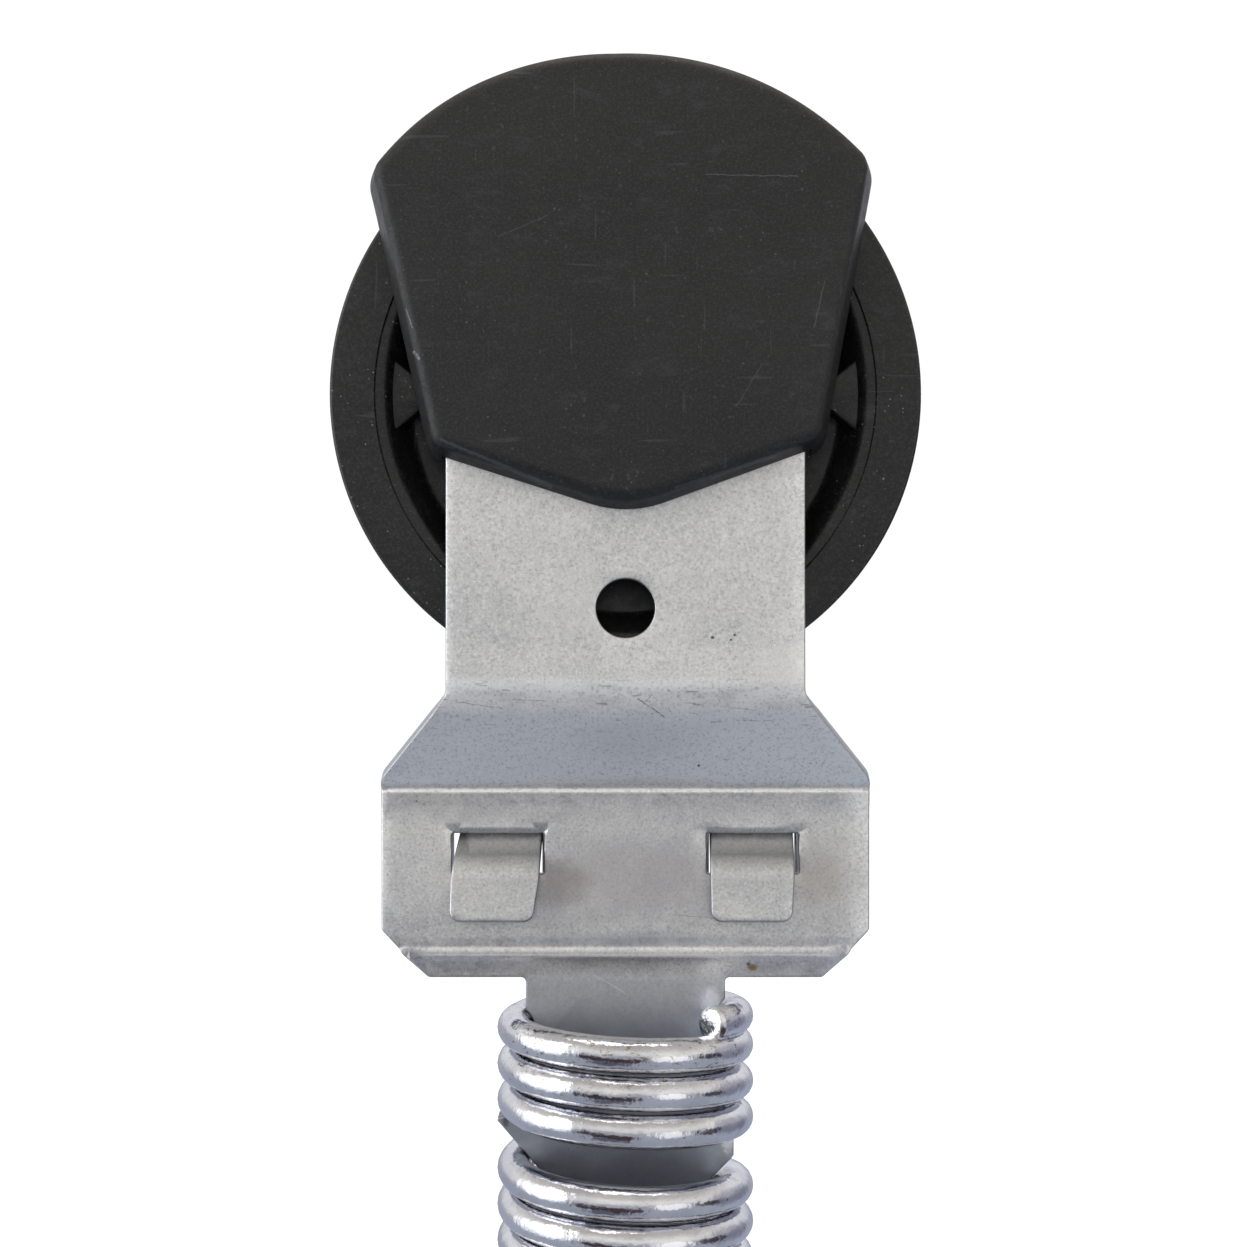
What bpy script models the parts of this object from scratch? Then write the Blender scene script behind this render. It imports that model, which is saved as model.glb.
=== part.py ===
"""Grooved cable pulley in a two-plate steel bracket, with a guard hood over the
wheel and an extension spring screwed onto the bracket's toothed tongue.

The wheel turns about world Y at the origin. The bracket hangs down along -Z.
The spring pulls its lower anchor up against the closed coils.
"""
import math

import bmesh
import bpy
from mathutils import Matrix, Vector

MM = 0.001
GAP = 0.3 * MM                      # clearance between pieces that touch

# Wheel
WHEEL_R = 50 * MM
WHEEL_HALF_WIDTH = 8.5 * MM
GROOVE_R = 43 * MM
GROOVE_HALF_FLOOR = 2.6 * MM
GROOVE_HALF_MOUTH = 6.4 * MM
RECESS_LIP_R = 42.0 * MM
RECESS_FLOOR_R = 36.6 * MM
WEB_HALF = 2.6 * MM
HUB_R = 19.5 * MM
HUB_HALF = 7.4 * MM
RIB_COUNT = 6
RIB_HALF_THICKNESS = 1.3 * MM
RIB_HALF_HEIGHT = 6.6 * MM
WHEEL_SEGMENTS = 48

# Bearing (10 x 30 x 9 deep-groove)
BEARING_R = 15.0 * MM
BEARING_BORE_R = 5.1 * MM
BEARING_HALF = 4.5 * MM
INNER_RING_R = 8.2 * MM
OUTER_RING_R = 11.8 * MM
BALL_PITCH_R = 10.0 * MM
BALL_R = 2.3 * MM
BALL_COUNT = 8
RACE_GROOVE_R = 2.6 * MM
CAGE_HALF = 3.2 * MM
SEAT_R = BEARING_R + GAP

# Axle
AXLE_R = 4.8 * MM
AXLE_HEAD_R = 9.0 * MM
AXLE_HEAD = 2.7 * MM
AXLE_END = 23.2 * MM
NUT_ACROSS_FLATS = 17 * MM
NUT_HEIGHT = 7.6 * MM
WASHER = 1.7 * MM

# Sheet-steel plates, as offsets from the plane where they meet
SHEET = 2.4 * MM
ARM_OFFSET = 11.2 * MM
JOINED_OFFSET = 1.35 * MM
TONGUE_SHIFT = 1.2 * MM
ARM_HALF = 30 * MM
BODY_HALF = 42 * MM
UPPER_BEND_Z = -50.6 * MM
LOWER_BEND_Z = -67.4 * MM
SHIFT_TOP_Z = -94.8 * MM
SHIFT_BOTTOM_Z = -98.2 * MM
SHOULDER_Z = -99.2 * MM
SHOULDER_HALF = 34 * MM
CHAMFER_Z = -91.3 * MM
FLARE_Z = -64.8 * MM
TONGUE_HALF = 17.2 * MM
TONGUE_END_Z = -136.5 * MM
SIGHT_HOLE_Z = -36.4 * MM
SIGHT_HOLE_R = 4.9 * MM
SLOT_TOP_Z = -73.6 * MM
SLOT_BOTTOM_Z = -81.6 * MM
SLOT_INNER_X = 14.0 * MM
SLOT_OUTER_X = 29.8 * MM
TAB_INNER_X = 14.7 * MM
TAB_OUTER_X = 28.6 * MM
TAB_TIP_Z = -89.7 * MM
WINDOW_BOTTOM_Z = -90.4 * MM
TAB_RAMP = 7 * MM                    # drop over which a tab comes forward
TAB_BEND_R = 5 * MM
RELIEF_LAP = 0.05 * MM               # a tab's root reaches this far over its side reliefs
BEND_R = 2.6 * MM

# Spring: turn 0 is where the wire first passes the left side (-X)
SPRING_R = 19.3 * MM
WIRE_R = 2.85 * MM
PITCH = 6.2 * MM
TOOTH_STEP = 5.6 * MM               # extra rise where the wire steps over a tooth
FIRST_LEFT_Z = -108.0 * MM
TURNS = 13.5                        # between the first left pass and its mirror image
TAIL_TURNS = 0.6136
TAIL_PITCH = 3.8 * MM
WIRE_SIDES = 8
STEPS_PER_TURN = 16

# Lower anchor, drawn about the centre of its eye
EYE_R = 7.0 * MM
EYE_OUTER_R = 14.0 * MM
EYE_BELOW_SHOULDER = 17.0 * MM
BUSH_BORE_R = 5.2 * MM
ANCHOR_SHOULDER_HALF = 23 * MM
RIVET_X = 12 * MM
RIVET_HEIGHT = EYE_BELOW_SHOULDER - 5 * MM

# Hood
HOOD_TOP_R = 56.2 * MM
HOOD_SIDE_TOP = (41.9 * MM, 32.8 * MM)
HOOD_SIDE_BOTTOM = (33.4 * MM, -9.6 * MM)
HOOD_CHIN_Z = -21.9 * MM
HOOD_CHIN_SLOPE = 0.34
HOOD_SHOULDER_FILLET = 5.5 * MM
HOOD_CORNER_FILLET = 4.6 * MM
HOOD_CHIN_FILLET = 20 * MM
HOOD_WALL = 1.9 * MM
HOOD_FRONT = 18.3 * MM
HOOD_LEAN = math.radians(-1.1)
WHEEL_CLEARANCE_R = 51.3 * MM


# ---------------------------------------------------------------- helpers

def clear_scene():
    for obj in list(bpy.data.objects):
        bpy.data.objects.remove(obj, do_unlink=True)


def material(name, colour, roughness, metallic):
    mat = bpy.data.materials.new(name)
    mat.use_nodes = True
    shader = mat.node_tree.nodes["Principled BSDF"]
    shader.inputs["Base Color"].default_value = (*colour, 1.0)
    shader.inputs["Roughness"].default_value = roughness
    shader.inputs["Metallic"].default_value = metallic
    return mat


def add_object(name, bm, mat, parent=None, smooth_angle=30):
    bmesh.ops.recalc_face_normals(bm, faces=bm.faces[:])
    mesh = bpy.data.meshes.new(name)
    bm.to_mesh(mesh)
    bm.free()
    mesh.shade_smooth()
    mesh.set_sharp_from_angle(angle=math.radians(smooth_angle))
    obj = bpy.data.objects.new(name, mesh)
    bpy.context.collection.objects.link(obj)
    if mat:
        mesh.materials.append(mat)
    obj.parent = parent
    return obj


def add_empty(name, location):
    empty = bpy.data.objects.new(name, None)
    empty.location = location
    bpy.context.collection.objects.link(empty)
    return empty


def prism(outline, low_y, high_y):
    """A closed solid: an (x, z) outline extruded along Y."""
    bm = bmesh.new()
    face = bm.faces.new([bm.verts.new((x, low_y, z)) for x, z in outline])
    moved = bmesh.ops.extrude_face_region(bm, geom=[face])["geom"]
    verts = [item for item in moved if isinstance(item, bmesh.types.BMVert)]
    bmesh.ops.translate(bm, verts=verts, vec=(0, high_y - low_y, 0))
    return bm


def ribbon(section, low_x, high_x):
    """A closed solid: a (y, z) section extruded along X."""
    bm = bmesh.new()
    face = bm.faces.new([bm.verts.new((low_x, y, z)) for y, z in section])
    moved = bmesh.ops.extrude_face_region(bm, geom=[face])["geom"]
    verts = [item for item in moved if isinstance(item, bmesh.types.BMVert)]
    bmesh.ops.translate(bm, verts=verts, vec=(high_x - low_x, 0, 0))
    return bm


def turned(profile, steps, closed=True):
    """An (r, y) profile spun about Y; an open profile starts and ends on the axis."""
    bm = bmesh.new()
    verts = [bm.verts.new((r, y, 0)) for r, y in profile]
    pairs = list(zip(verts, verts[1:]))
    if closed:
        pairs.append((verts[-1], verts[0]))
    edges = [bm.edges.new(pair) for pair in pairs]
    bmesh.ops.spin(bm, geom=verts + edges, cent=(0, 0, 0), axis=(0, 1, 0),
                   angle=2 * math.pi, steps=steps, use_merge=True)
    bmesh.ops.remove_doubles(bm, verts=bm.verts[:], dist=1e-7)
    return bm


def tube(inner_r, outer_r, low_y, high_y, steps=24):
    return turned([(inner_r, low_y), (outer_r, low_y), (outer_r, high_y), (inner_r, high_y)], steps)


def drum(radius, low_y, high_y, steps=36):
    """A solid disc about Y."""
    return turned([(0, low_y), (radius, low_y), (radius, high_y), (0, high_y)], steps, closed=False)


def arc(cx, cz, radius, start, end, steps):
    """Points on a circle, angles in degrees from +X towards +Z."""
    points = []
    for i in range(steps + 1):
        a = math.radians(start + (end - start) * i / steps)
        points.append((cx + radius * math.cos(a), cz + radius * math.sin(a)))
    return points


def fillet(before, corner, after, radius, steps):
    """The corner between two straight lines, replaced by an arc."""
    c = Vector(corner)
    u = (Vector(before) - c).normalized()
    v = (Vector(after) - c).normalized()
    half = u.angle(v) / 2
    centre = c + (u + v).normalized() * (radius / math.sin(half))
    start = c + u * (radius / math.tan(half)) - centre
    end = c + v * (radius / math.tan(half)) - centre
    turn = start.angle(end)
    points = []
    for i in range(steps + 1):
        t = i / steps
        p = (start * math.sin((1 - t) * turn) + end * math.sin(t * turn)) / math.sin(turn)
        points.append(tuple(centre + p))
    return points


def apply_boolean(target, operation, tools):
    """Cut or join with closed tool meshes in the target's own frame, then remove them."""
    for bm in tools:
        tool = add_object("tool", bm, None, target.parent)
        modifier = target.modifiers.new("shape", "BOOLEAN")
        modifier.operation = operation
        modifier.solver = "EXACT"
        modifier.object = tool
        bpy.context.view_layer.update()
        graph = bpy.context.evaluated_depsgraph_get()
        result = bpy.data.meshes.new_from_object(target.evaluated_get(graph))
        target.modifiers.clear()
        target.data = result
        bpy.data.objects.remove(tool, do_unlink=True)
    target.data.shade_smooth()
    target.data.set_sharp_from_angle(angle=math.radians(30))


def cut(target, *tools):
    apply_boolean(target, "DIFFERENCE", tools)


def unite(target, *tools):
    apply_boolean(target, "UNION", tools)


# ---------------------------------------------------------------- wheel

def wheel_half_profile(side):
    """One side of the wheel's section, from the groove floor round to the hub bore."""
    w = WHEEL_HALF_WIDTH
    points = [
        (GROOVE_R, GROOVE_HALF_FLOOR),
        (WHEEL_R - 1.0 * MM, GROOVE_HALF_MOUTH),
        (WHEEL_R, GROOVE_HALF_MOUTH + 0.6 * MM),
        (WHEEL_R, w - 0.5 * MM),
        (WHEEL_R - 0.5 * MM, w),
        (RECESS_LIP_R, w),
        (RECESS_LIP_R - 1.3 * MM, w - 0.5 * MM),
        (RECESS_LIP_R - 1.9 * MM, w - 1.5 * MM),
        (RECESS_FLOOR_R, WEB_HALF),
        (HUB_R + 0.6 * MM, WEB_HALF),
        (HUB_R, HUB_HALF),
    ]
    return [(r, side * y) for r, y in points]


def hub_bore_profile():
    """Bore from front to rear: mouth, retaining-ring groove, bearing seat, shoulder."""
    return [
        (SEAT_R, -HUB_HALF),
        (SEAT_R, -6.2 * MM),
        (SEAT_R + 1.1 * MM, -6.2 * MM),
        (SEAT_R + 1.1 * MM, -4.8 * MM),
        (SEAT_R, -4.8 * MM),
        (SEAT_R, 4.8 * MM),
        (SEAT_R - 2.4 * MM, 4.8 * MM),
        (SEAT_R - 2.4 * MM, HUB_HALF),
    ]


def rib_outline(angle):
    """A straight rib that flares where it meets the rim."""
    half = RIB_HALF_THICKNESS
    rim = RECESS_FLOOR_R
    side = [(HUB_R - 1.5 * MM, half), (rim - 3.2 * MM, half), (rim - 0.6 * MM, half + 0.9 * MM),
            (rim + 1.2 * MM, half + 2.6 * MM), (rim + 3.2 * MM, half + 4.4 * MM)]
    local = side + [(x, -z) for x, z in reversed(side)]
    c = math.cos(angle)
    s = math.sin(angle)
    return [(x * c - z * s, x * s + z * c) for x, z in local]


def make_wheel(parent):
    profile = wheel_half_profile(-1) + hub_bore_profile() + wheel_half_profile(1)[::-1]
    wheel = add_object("pulley_wheel", turned(profile, WHEEL_SEGMENTS), BLACK_NYLON, parent)
    for i in range(RIB_COUNT):
        outline = rib_outline(i * 2 * math.pi / RIB_COUNT)
        unite(wheel, prism(outline, -RIB_HALF_HEIGHT, RIB_HALF_HEIGHT))


def make_bearing_ring(name, far_r, near_r, parent):
    """A race: plain on the far side, with a ball groove on the side near the balls."""
    side = 1 if near_r > far_r else -1
    half_chord = math.sqrt(RACE_GROOVE_R ** 2 - (near_r - BALL_PITCH_R) ** 2)
    spread = math.degrees(math.asin(half_chord / RACE_GROOVE_R))
    groove = []
    for i in range(7):
        a = math.radians(-spread + 2 * spread * i / 6)
        groove.append((BALL_PITCH_R - side * RACE_GROOVE_R * math.cos(a), RACE_GROOVE_R * math.sin(a)))
    profile = [(far_r, BEARING_HALF), (far_r, -BEARING_HALF), (near_r, -BEARING_HALF)]
    profile += groove + [(near_r, BEARING_HALF)]
    add_object(name, turned(profile, 24), BEARING_STEEL, parent)


def make_bearing(fixed, wheel, orbit):
    make_bearing_ring("bearing_inner_ring", BEARING_BORE_R, INNER_RING_R, fixed)
    make_bearing_ring("bearing_outer_ring", BEARING_R, OUTER_RING_R, wheel)
    for name, side in (("bearing_seal_front", -1), ("bearing_seal_rear", 1)):
        inner = INNER_RING_R + GAP
        outer = OUTER_RING_R - GAP
        low, high = sorted((side * 3.6 * MM, side * 4.3 * MM))
        add_object(name, tube(inner, outer, low, high), SEAL_RUBBER, wheel)
    pockets = []
    for i in range(BALL_COUNT):
        angle = 2 * math.pi * i / BALL_COUNT
        turn = Matrix.Rotation(angle, 4, "Y")
        place = turn @ Matrix.Translation((BALL_PITCH_R, 0, 0))
        ball = bmesh.new()
        bmesh.ops.create_icosphere(ball, subdivisions=2, radius=BALL_R, matrix=place)
        add_object(f"bearing_ball_{i + 1}", ball, BEARING_STEEL, orbit, 60)
        pocket = bmesh.new()
        bmesh.ops.create_cone(pocket, cap_ends=True, segments=12, radius1=BALL_R + GAP,
                              radius2=BALL_R + GAP, depth=6 * MM,
                              matrix=place @ Matrix.Rotation(math.pi / 2, 4, "Y"))
        pockets.append(pocket)
    cage = add_object("bearing_cage", tube(9.4 * MM, 10.6 * MM, -CAGE_HALF, CAGE_HALF), CAGE_BRASS, orbit)
    cut(cage, *pockets)


def make_retaining_ring(parent):
    outline = arc(0, 0, SEAT_R + 0.8 * MM, -60, 240, 30) + arc(0, 0, 13.0 * MM, 240, -60, 30)
    add_object("retaining_ring", prism(outline, -5.9 * MM, -5.0 * MM), SPRING_STEEL, parent)


# ---------------------------------------------------------------- axle

def make_axle(parent):
    face = ARM_OFFSET + SHEET / 2 + GAP
    head = -face - AXLE_HEAD
    profile = [(0, head), (AXLE_HEAD_R - 0.8 * MM, head), (AXLE_HEAD_R, head + 0.8 * MM),
               (AXLE_HEAD_R, -face), (AXLE_R, -face), (AXLE_R, AXLE_END - 0.8 * MM),
               (AXLE_R - 0.8 * MM, AXLE_END), (0, AXLE_END)]
    add_object("axle_pin", turned(profile, 24, closed=False), ZINC_STEEL, parent)
    reach = ARM_OFFSET - SHEET / 2 - GAP
    for name, side in (("front_spacer", -1), ("rear_spacer", 1)):
        low, high = sorted((side * (BEARING_HALF + GAP), side * reach))
        add_object(name, tube(BEARING_BORE_R, 7.8 * MM, low, high), ZINC_STEEL, parent)
    add_object("axle_washer", tube(BEARING_BORE_R, 10 * MM, face, face + WASHER), ZINC_STEEL, parent)
    make_nut(face + WASHER + GAP, parent)


def make_nut(start, parent):
    """Hexagon nut with a turned collar that holds a nylon locking ring."""
    end = start + NUT_HEIGHT
    hexagon = arc(0, 0, NUT_ACROSS_FLATS / 2 / math.cos(math.pi / 6), 0, 300, 5)
    nut = add_object("lock_nut", prism(hexagon, start, end), ZINC_STEEL, parent)
    collar = tube(7.4 * MM, 20 * MM, end - 2.2 * MM, end + 1 * MM)
    mouth = drum(6.5 * MM, end - 2.0 * MM, end + 2 * MM)
    bore = drum(BEARING_BORE_R, start - 1 * MM, end + 3 * MM)
    cut(nut, collar, mouth, bore)
    add_object("nut_locking_ring", tube(BEARING_BORE_R, 6.2 * MM, end - 1.7 * MM, end - 0.3 * MM),
               NYLON, parent)


# ---------------------------------------------------------------- plates

def sheet_section(centre_line, bend_radius):
    """A bent sheet's (y, z) section: a centre line with rounded bends, made SHEET thick."""
    points = [Vector(centre_line[0])]
    for before, corner, after in zip(centre_line, centre_line[1:], centre_line[2:]):
        points += [Vector(p) for p in fillet(before, corner, after, bend_radius, 4)]
    points.append(Vector(centre_line[-1]))
    left = []
    right = []
    for i, p in enumerate(points):
        ahead = points[min(i + 1, len(points) - 1)]
        behind = points[max(i - 1, 0)]
        along = (ahead - behind).normalized()
        normal = Vector((-along.y, along.x)) * (SHEET / 2)
        left.append(tuple(p + normal))
        right.append(tuple(p - normal))
    return left + right[::-1]


def plate_centre_line(side):
    joined = side * JOINED_OFFSET
    return [(side * ARM_OFFSET, ARM_HALF + 1 * MM), (side * ARM_OFFSET, UPPER_BEND_Z),
            (joined, LOWER_BEND_Z), (joined, SHIFT_TOP_Z),
            (joined + TONGUE_SHIFT, SHIFT_BOTTOM_Z), (joined + TONGUE_SHIFT, TONGUE_END_Z)]


def wire_height(turn):
    """The wire's centre height: closed coils, with a longer step over each tooth."""
    def upper(t):
        if t < 0:
            return FIRST_LEFT_Z - TAIL_PITCH * t
        s = min(max((t - 2.5) / 0.5, 0), 1)
        return FIRST_LEFT_Z - PITCH * t - TOOTH_STEP * s * s * (3 - 2 * s)
    middle = TURNS / 2
    if turn <= middle:
        return upper(turn)
    return 2 * upper(middle) - upper(TURNS - turn)


def crossings(side, first, last):
    """Heights where the wire passes one side of the tongue: -1 is left, +1 is right."""
    start = 0 if side < 0 else 0.5
    found = []
    for i in range(-1, int(TURNS) + 3):
        turn = start + i
        if first <= turn <= last:
            found.append(wire_height(turn))
    return found


def notch(x, z, centre_y):
    """A round relief in the tongue's edge where the wire passes."""
    radius = WIRE_R + 2.5 * GAP
    return prism(arc(x, z, radius, 0, 340, 17), centre_y - 6 * MM, centre_y + 6 * MM)


def tongue_half(side):
    """The tongue's edge, from the shoulder down, with its tooth."""
    if side < 0:
        tooth_top = wire_height(2) - WIRE_R - GAP
        tooth = [(-TONGUE_HALF, tooth_top), (-22.1 * MM, tooth_top), (-22.1 * MM, tooth_top - 0.5 * MM),
                 (-12.6 * MM, TONGUE_END_Z + 1.2 * MM), (-11.4 * MM, TONGUE_END_Z)]
    else:
        tooth_top = wire_height(2.5) - WIRE_R - GAP
        tooth = [(TONGUE_HALF, tooth_top), (18.7 * MM, tooth_top), (18.7 * MM, tooth_top - 3.9 * MM),
                 (13.6 * MM, TONGUE_END_Z + 1.0 * MM), (12.4 * MM, TONGUE_END_Z)]
    return [(side * TONGUE_HALF, SHOULDER_Z)] + tooth


def plate_outline():
    top = arc(0, 0, ARM_HALF, 180, 0, 24)
    right = [(ARM_HALF, UPPER_BEND_Z), (BODY_HALF, FLARE_Z), (BODY_HALF, CHAMFER_Z),
             (SHOULDER_HALF, SHOULDER_Z)] + tongue_half(1)
    left = [(-x, z) for x, z in right[:4]] + tongue_half(-1)
    return top + right + left[::-1]


def circle_prism(x, z, radius, low_y, high_y, steps=32):
    return prism(arc(x, z, radius, 0, 360 - 360 / steps, steps - 1), low_y, high_y)


def rectangle(low_x, high_x, low_z, high_z):
    return [(low_x, low_z), (high_x, low_z), (high_x, high_z), (low_x, high_z)]


def make_plate(name, side, parent):
    section = sheet_section(plate_centre_line(side), BEND_R)
    plate = add_object(name, ribbon(section, -BODY_HALF - 1 * MM, BODY_HALF + 1 * MM),
                       GALVANISED_STEEL, parent)
    outline = prism(plate_outline(), -20 * MM, 20 * MM)
    apply_boolean(plate, "INTERSECT", [outline])
    cut(plate, circle_prism(0, 0, AXLE_R + 0.4 * MM, -20 * MM, 20 * MM))
    cut(plate, circle_prism(0, SIGHT_HOLE_Z, SIGHT_HOLE_R, -20 * MM, 20 * MM))
    for z in crossings(-1, 0, 3):
        cut(plate, notch(-SPRING_R, z, TONGUE_SHIFT))
    for z in crossings(1, -0.5, 3.5):
        cut(plate, notch(SPRING_R, z, TONGUE_SHIFT))
    return plate


def tab_section():
    """A (y, z) strip: forward and down from the rear plate through the slot, then straight down."""
    front = -JOINED_OFFSET - SHEET - GAP
    line = [(JOINED_OFFSET, SLOT_TOP_Z - 1 * MM), (front, SLOT_TOP_Z - TAB_RAMP), (front, TAB_TIP_Z)]
    return sheet_section(line, TAB_BEND_R)


def make_plates(parent):
    front = make_plate("front_plate", -1, parent)
    rear = make_plate("rear_plate", 1, parent)
    window_top = SLOT_TOP_Z - GAP - SHEET
    for side in (-1, 1):
        low, high = sorted((side * SLOT_INNER_X, side * SLOT_OUTER_X))
        cut(front, prism(rectangle(low, high, SLOT_BOTTOM_Z, SLOT_TOP_Z), -6 * MM, 0))
        tab_low, tab_high = sorted((side * TAB_INNER_X, side * TAB_OUTER_X))
        window = [(low, WINDOW_BOTTOM_Z), (high, WINDOW_BOTTOM_Z), (high, SLOT_TOP_Z),
                  (tab_high - RELIEF_LAP, SLOT_TOP_Z), (tab_high - RELIEF_LAP, window_top),
                  (tab_low + RELIEF_LAP, window_top), (tab_low + RELIEF_LAP, SLOT_TOP_Z), (low, SLOT_TOP_Z)]
        cut(rear, prism(window, 0, 6 * MM))
        unite(rear, ribbon(tab_section(), tab_low, tab_high))


# ---------------------------------------------------------------- spring and lower anchor

def wire_point(turn):
    angle = 2 * math.pi * turn
    return Vector((-SPRING_R * math.cos(angle), -SPRING_R * math.sin(angle), wire_height(turn)))


def make_spring(parent):
    first = -TAIL_TURNS
    last = TURNS + TAIL_TURNS
    count = round((last - first) * STEPS_PER_TURN)
    bm = bmesh.new()
    rings = []
    for i in range(count + 1):
        turn = first + (last - first) * i / count
        centre = wire_point(turn)
        outward = Vector((centre.x, centre.y, 0)).normalized()
        along = (wire_point(turn + 0.001) - wire_point(turn - 0.001)).normalized()
        up = outward.cross(along).normalized()
        ring = []
        for k in range(WIRE_SIDES):
            a = 2 * math.pi * k / WIRE_SIDES
            ring.append(bm.verts.new(centre + WIRE_R * (math.cos(a) * outward + math.sin(a) * up)))
        rings.append(ring)
    for one, two in zip(rings, rings[1:]):
        for k in range(WIRE_SIDES):
            n = (k + 1) % WIRE_SIDES
            bm.faces.new((one[k], one[n], two[n], two[k]))
    bm.faces.new(rings[0])
    bm.faces.new(rings[-1][::-1])
    add_object("extension_spring", bm, ZINC_WIRE, parent, 50)


def anchor_outline(eye_z):
    """The bracket's tongue turned upside down, carried on to a rounded eye."""
    mirror = 2 * wire_height(TURNS / 2)
    tongue = [(-x, mirror - z - eye_z) for x, z in tongue_half(1)[::-1]]
    other = [(-x, mirror - z - eye_z) for x, z in tongue_half(-1)]
    shoulder = EYE_BELOW_SHOULDER
    drop = 4 * MM
    half = ANCHOR_SHOULDER_HALF
    left = tongue + [(-half, shoulder), (-half, shoulder - drop)]
    lower = arc(0, 0, EYE_OUTER_R, 160, 380, 22)
    right = [(half, shoulder - drop), (half, shoulder)] + other
    return left + lower + right


def make_anchor(eye_z, parent):
    top_turn = TURNS - 3.5
    tips = []
    for side in (-1, 1):
        last = TURNS if side > 0 else TURNS + 0.5
        tips += [(side * SPRING_R, z - eye_z) for z in crossings(side, top_turn, last)]
    for name, side in (("anchor_plate_front", -1), ("anchor_plate_rear", 1)):
        low, high = sorted((side * (JOINED_OFFSET - SHEET / 2), side * (JOINED_OFFSET + SHEET / 2)))
        plate = add_object(name, prism(anchor_outline(eye_z), low, high), GALVANISED_STEEL, parent)
        cut(plate, circle_prism(0, 0, EYE_R, -20 * MM, 20 * MM))
        for x in (-RIVET_X, RIVET_X):
            cut(plate, circle_prism(x, RIVET_HEIGHT, 2.9 * MM, -20 * MM, 20 * MM, 20))
        for x, z in tips:
            cut(plate, notch(x, z, 0))
    for name, x in (("anchor_rivet_left", -RIVET_X), ("anchor_rivet_right", RIVET_X)):
        add_object(name, rivet(), ZINC_STEEL, parent).location = (x, 0, RIVET_HEIGHT)
    lip = JOINED_OFFSET + SHEET / 2 + GAP
    bush = [(BUSH_BORE_R, -lip - 1.1 * MM), (9 * MM, -lip - 1.1 * MM), (9 * MM, -lip), (EYE_R - GAP, -lip),
            (EYE_R - GAP, lip), (9 * MM, lip), (9 * MM, lip + 1.1 * MM), (BUSH_BORE_R, lip + 1.1 * MM)]
    add_object("anchor_bush", turned(bush, 24), ZINC_STEEL, parent)


def rivet():
    """A rivet with a low domed head at each end."""
    face = JOINED_OFFSET + SHEET / 2 + GAP
    shank = 2.6 * MM
    head = 4.6 * MM
    half = [(head, face), (head - 0.3 * MM, face + 0.8 * MM), (head - 1.6 * MM, face + 1.5 * MM),
            (0, face + 1.8 * MM)]
    profile = [(r, -y) for r, y in half[::-1]] + [(shank, -face), (shank, face)] + half
    return turned(profile, 16, closed=False)


# ---------------------------------------------------------------- hood

def line_meet(p, u, q, v):
    """Where two lines cross, each a point and a direction."""
    cross = u.x * v.y - u.y * v.x
    w = q - p
    t = (w.x * v.y - w.y * v.x) / cross
    return p + u * t


def hood_outline(shrink):
    """A domed top, straight sides that run in, and a shallow pointed chin."""
    radius = HOOD_TOP_R - shrink
    top = Vector(HOOD_SIDE_TOP)
    side = (Vector(HOOD_SIDE_BOTTOM) - top).normalized()
    inward = Vector((side.y, -side.x))
    if inward.x > 0:
        inward = -inward
    top = top + inward * shrink
    chin_dir = Vector((1, HOOD_CHIN_SLOPE)).normalized()
    chin = Vector((0, HOOD_CHIN_Z)) + Vector((0, shrink * math.hypot(1, HOOD_CHIN_SLOPE)))
    corner = line_meet(top, side, chin, chin_dir)
    # the side line's crossing with the dome
    b = top.dot(side)
    c = top.dot(top) - radius * radius
    shoulder = top + side * (-b - math.sqrt(b * b - c))
    tangent = Vector((-shoulder.y, shoulder.x)).normalized()
    shoulder_r = max(HOOD_SHOULDER_FILLET - shrink, 1 * MM)
    corner_r = max(HOOD_CORNER_FILLET - shrink, 0.8 * MM)
    chin_r = HOOD_CHIN_FILLET - shrink
    bend = fillet(shoulder + tangent * 0.02, shoulder, corner, shoulder_r, 6)
    start = math.degrees(math.atan2(bend[0][1], bend[0][0]))
    right = arc(0, 0, math.hypot(*bend[0]), 90, start, 12)[:-1] + bend
    right += fillet(shoulder, corner, chin, corner_r, 5)
    mirrored = (-corner.x, corner.y)
    right += fillet(corner, chin, mirrored, chin_r, 6)[:4]
    left = [(-x, z) for x, z in right[1:-1]]
    return right + left[::-1]


def loft(rings):
    """A closed solid through outlines at successive Y positions."""
    bm = bmesh.new()
    loops = []
    for y, outline in rings:
        loops.append([bm.verts.new((x, y, z)) for x, z in outline])
    for one, two in zip(loops, loops[1:]):
        for k in range(len(one)):
            n = (k + 1) % len(one)
            bm.faces.new((one[k], one[n], two[n], two[k]))
    bm.faces.new(loops[0])
    bm.faces.new(loops[-1][::-1])
    return bm


def hood_body(side, wall):
    """Solid hood half, shrunk by the wall for its inside; side -1 is the front."""
    draft = [(0.15, 0.0), (9.3, 0.1), (16.4, 1.7), (17.5, 2.2), (18.1, 3.0), (18.3, 3.9)]
    rings = []
    for depth, shrink in draft:
        y = depth * MM
        if wall:
            y = min(y, HOOD_FRONT - wall) if depth > 1 else -1 * MM
            if rings and y <= rings[-1][0] * side:
                continue
        rings.append((side * y, hood_outline(shrink * MM + wall)))
    return loft(rings)


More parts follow.
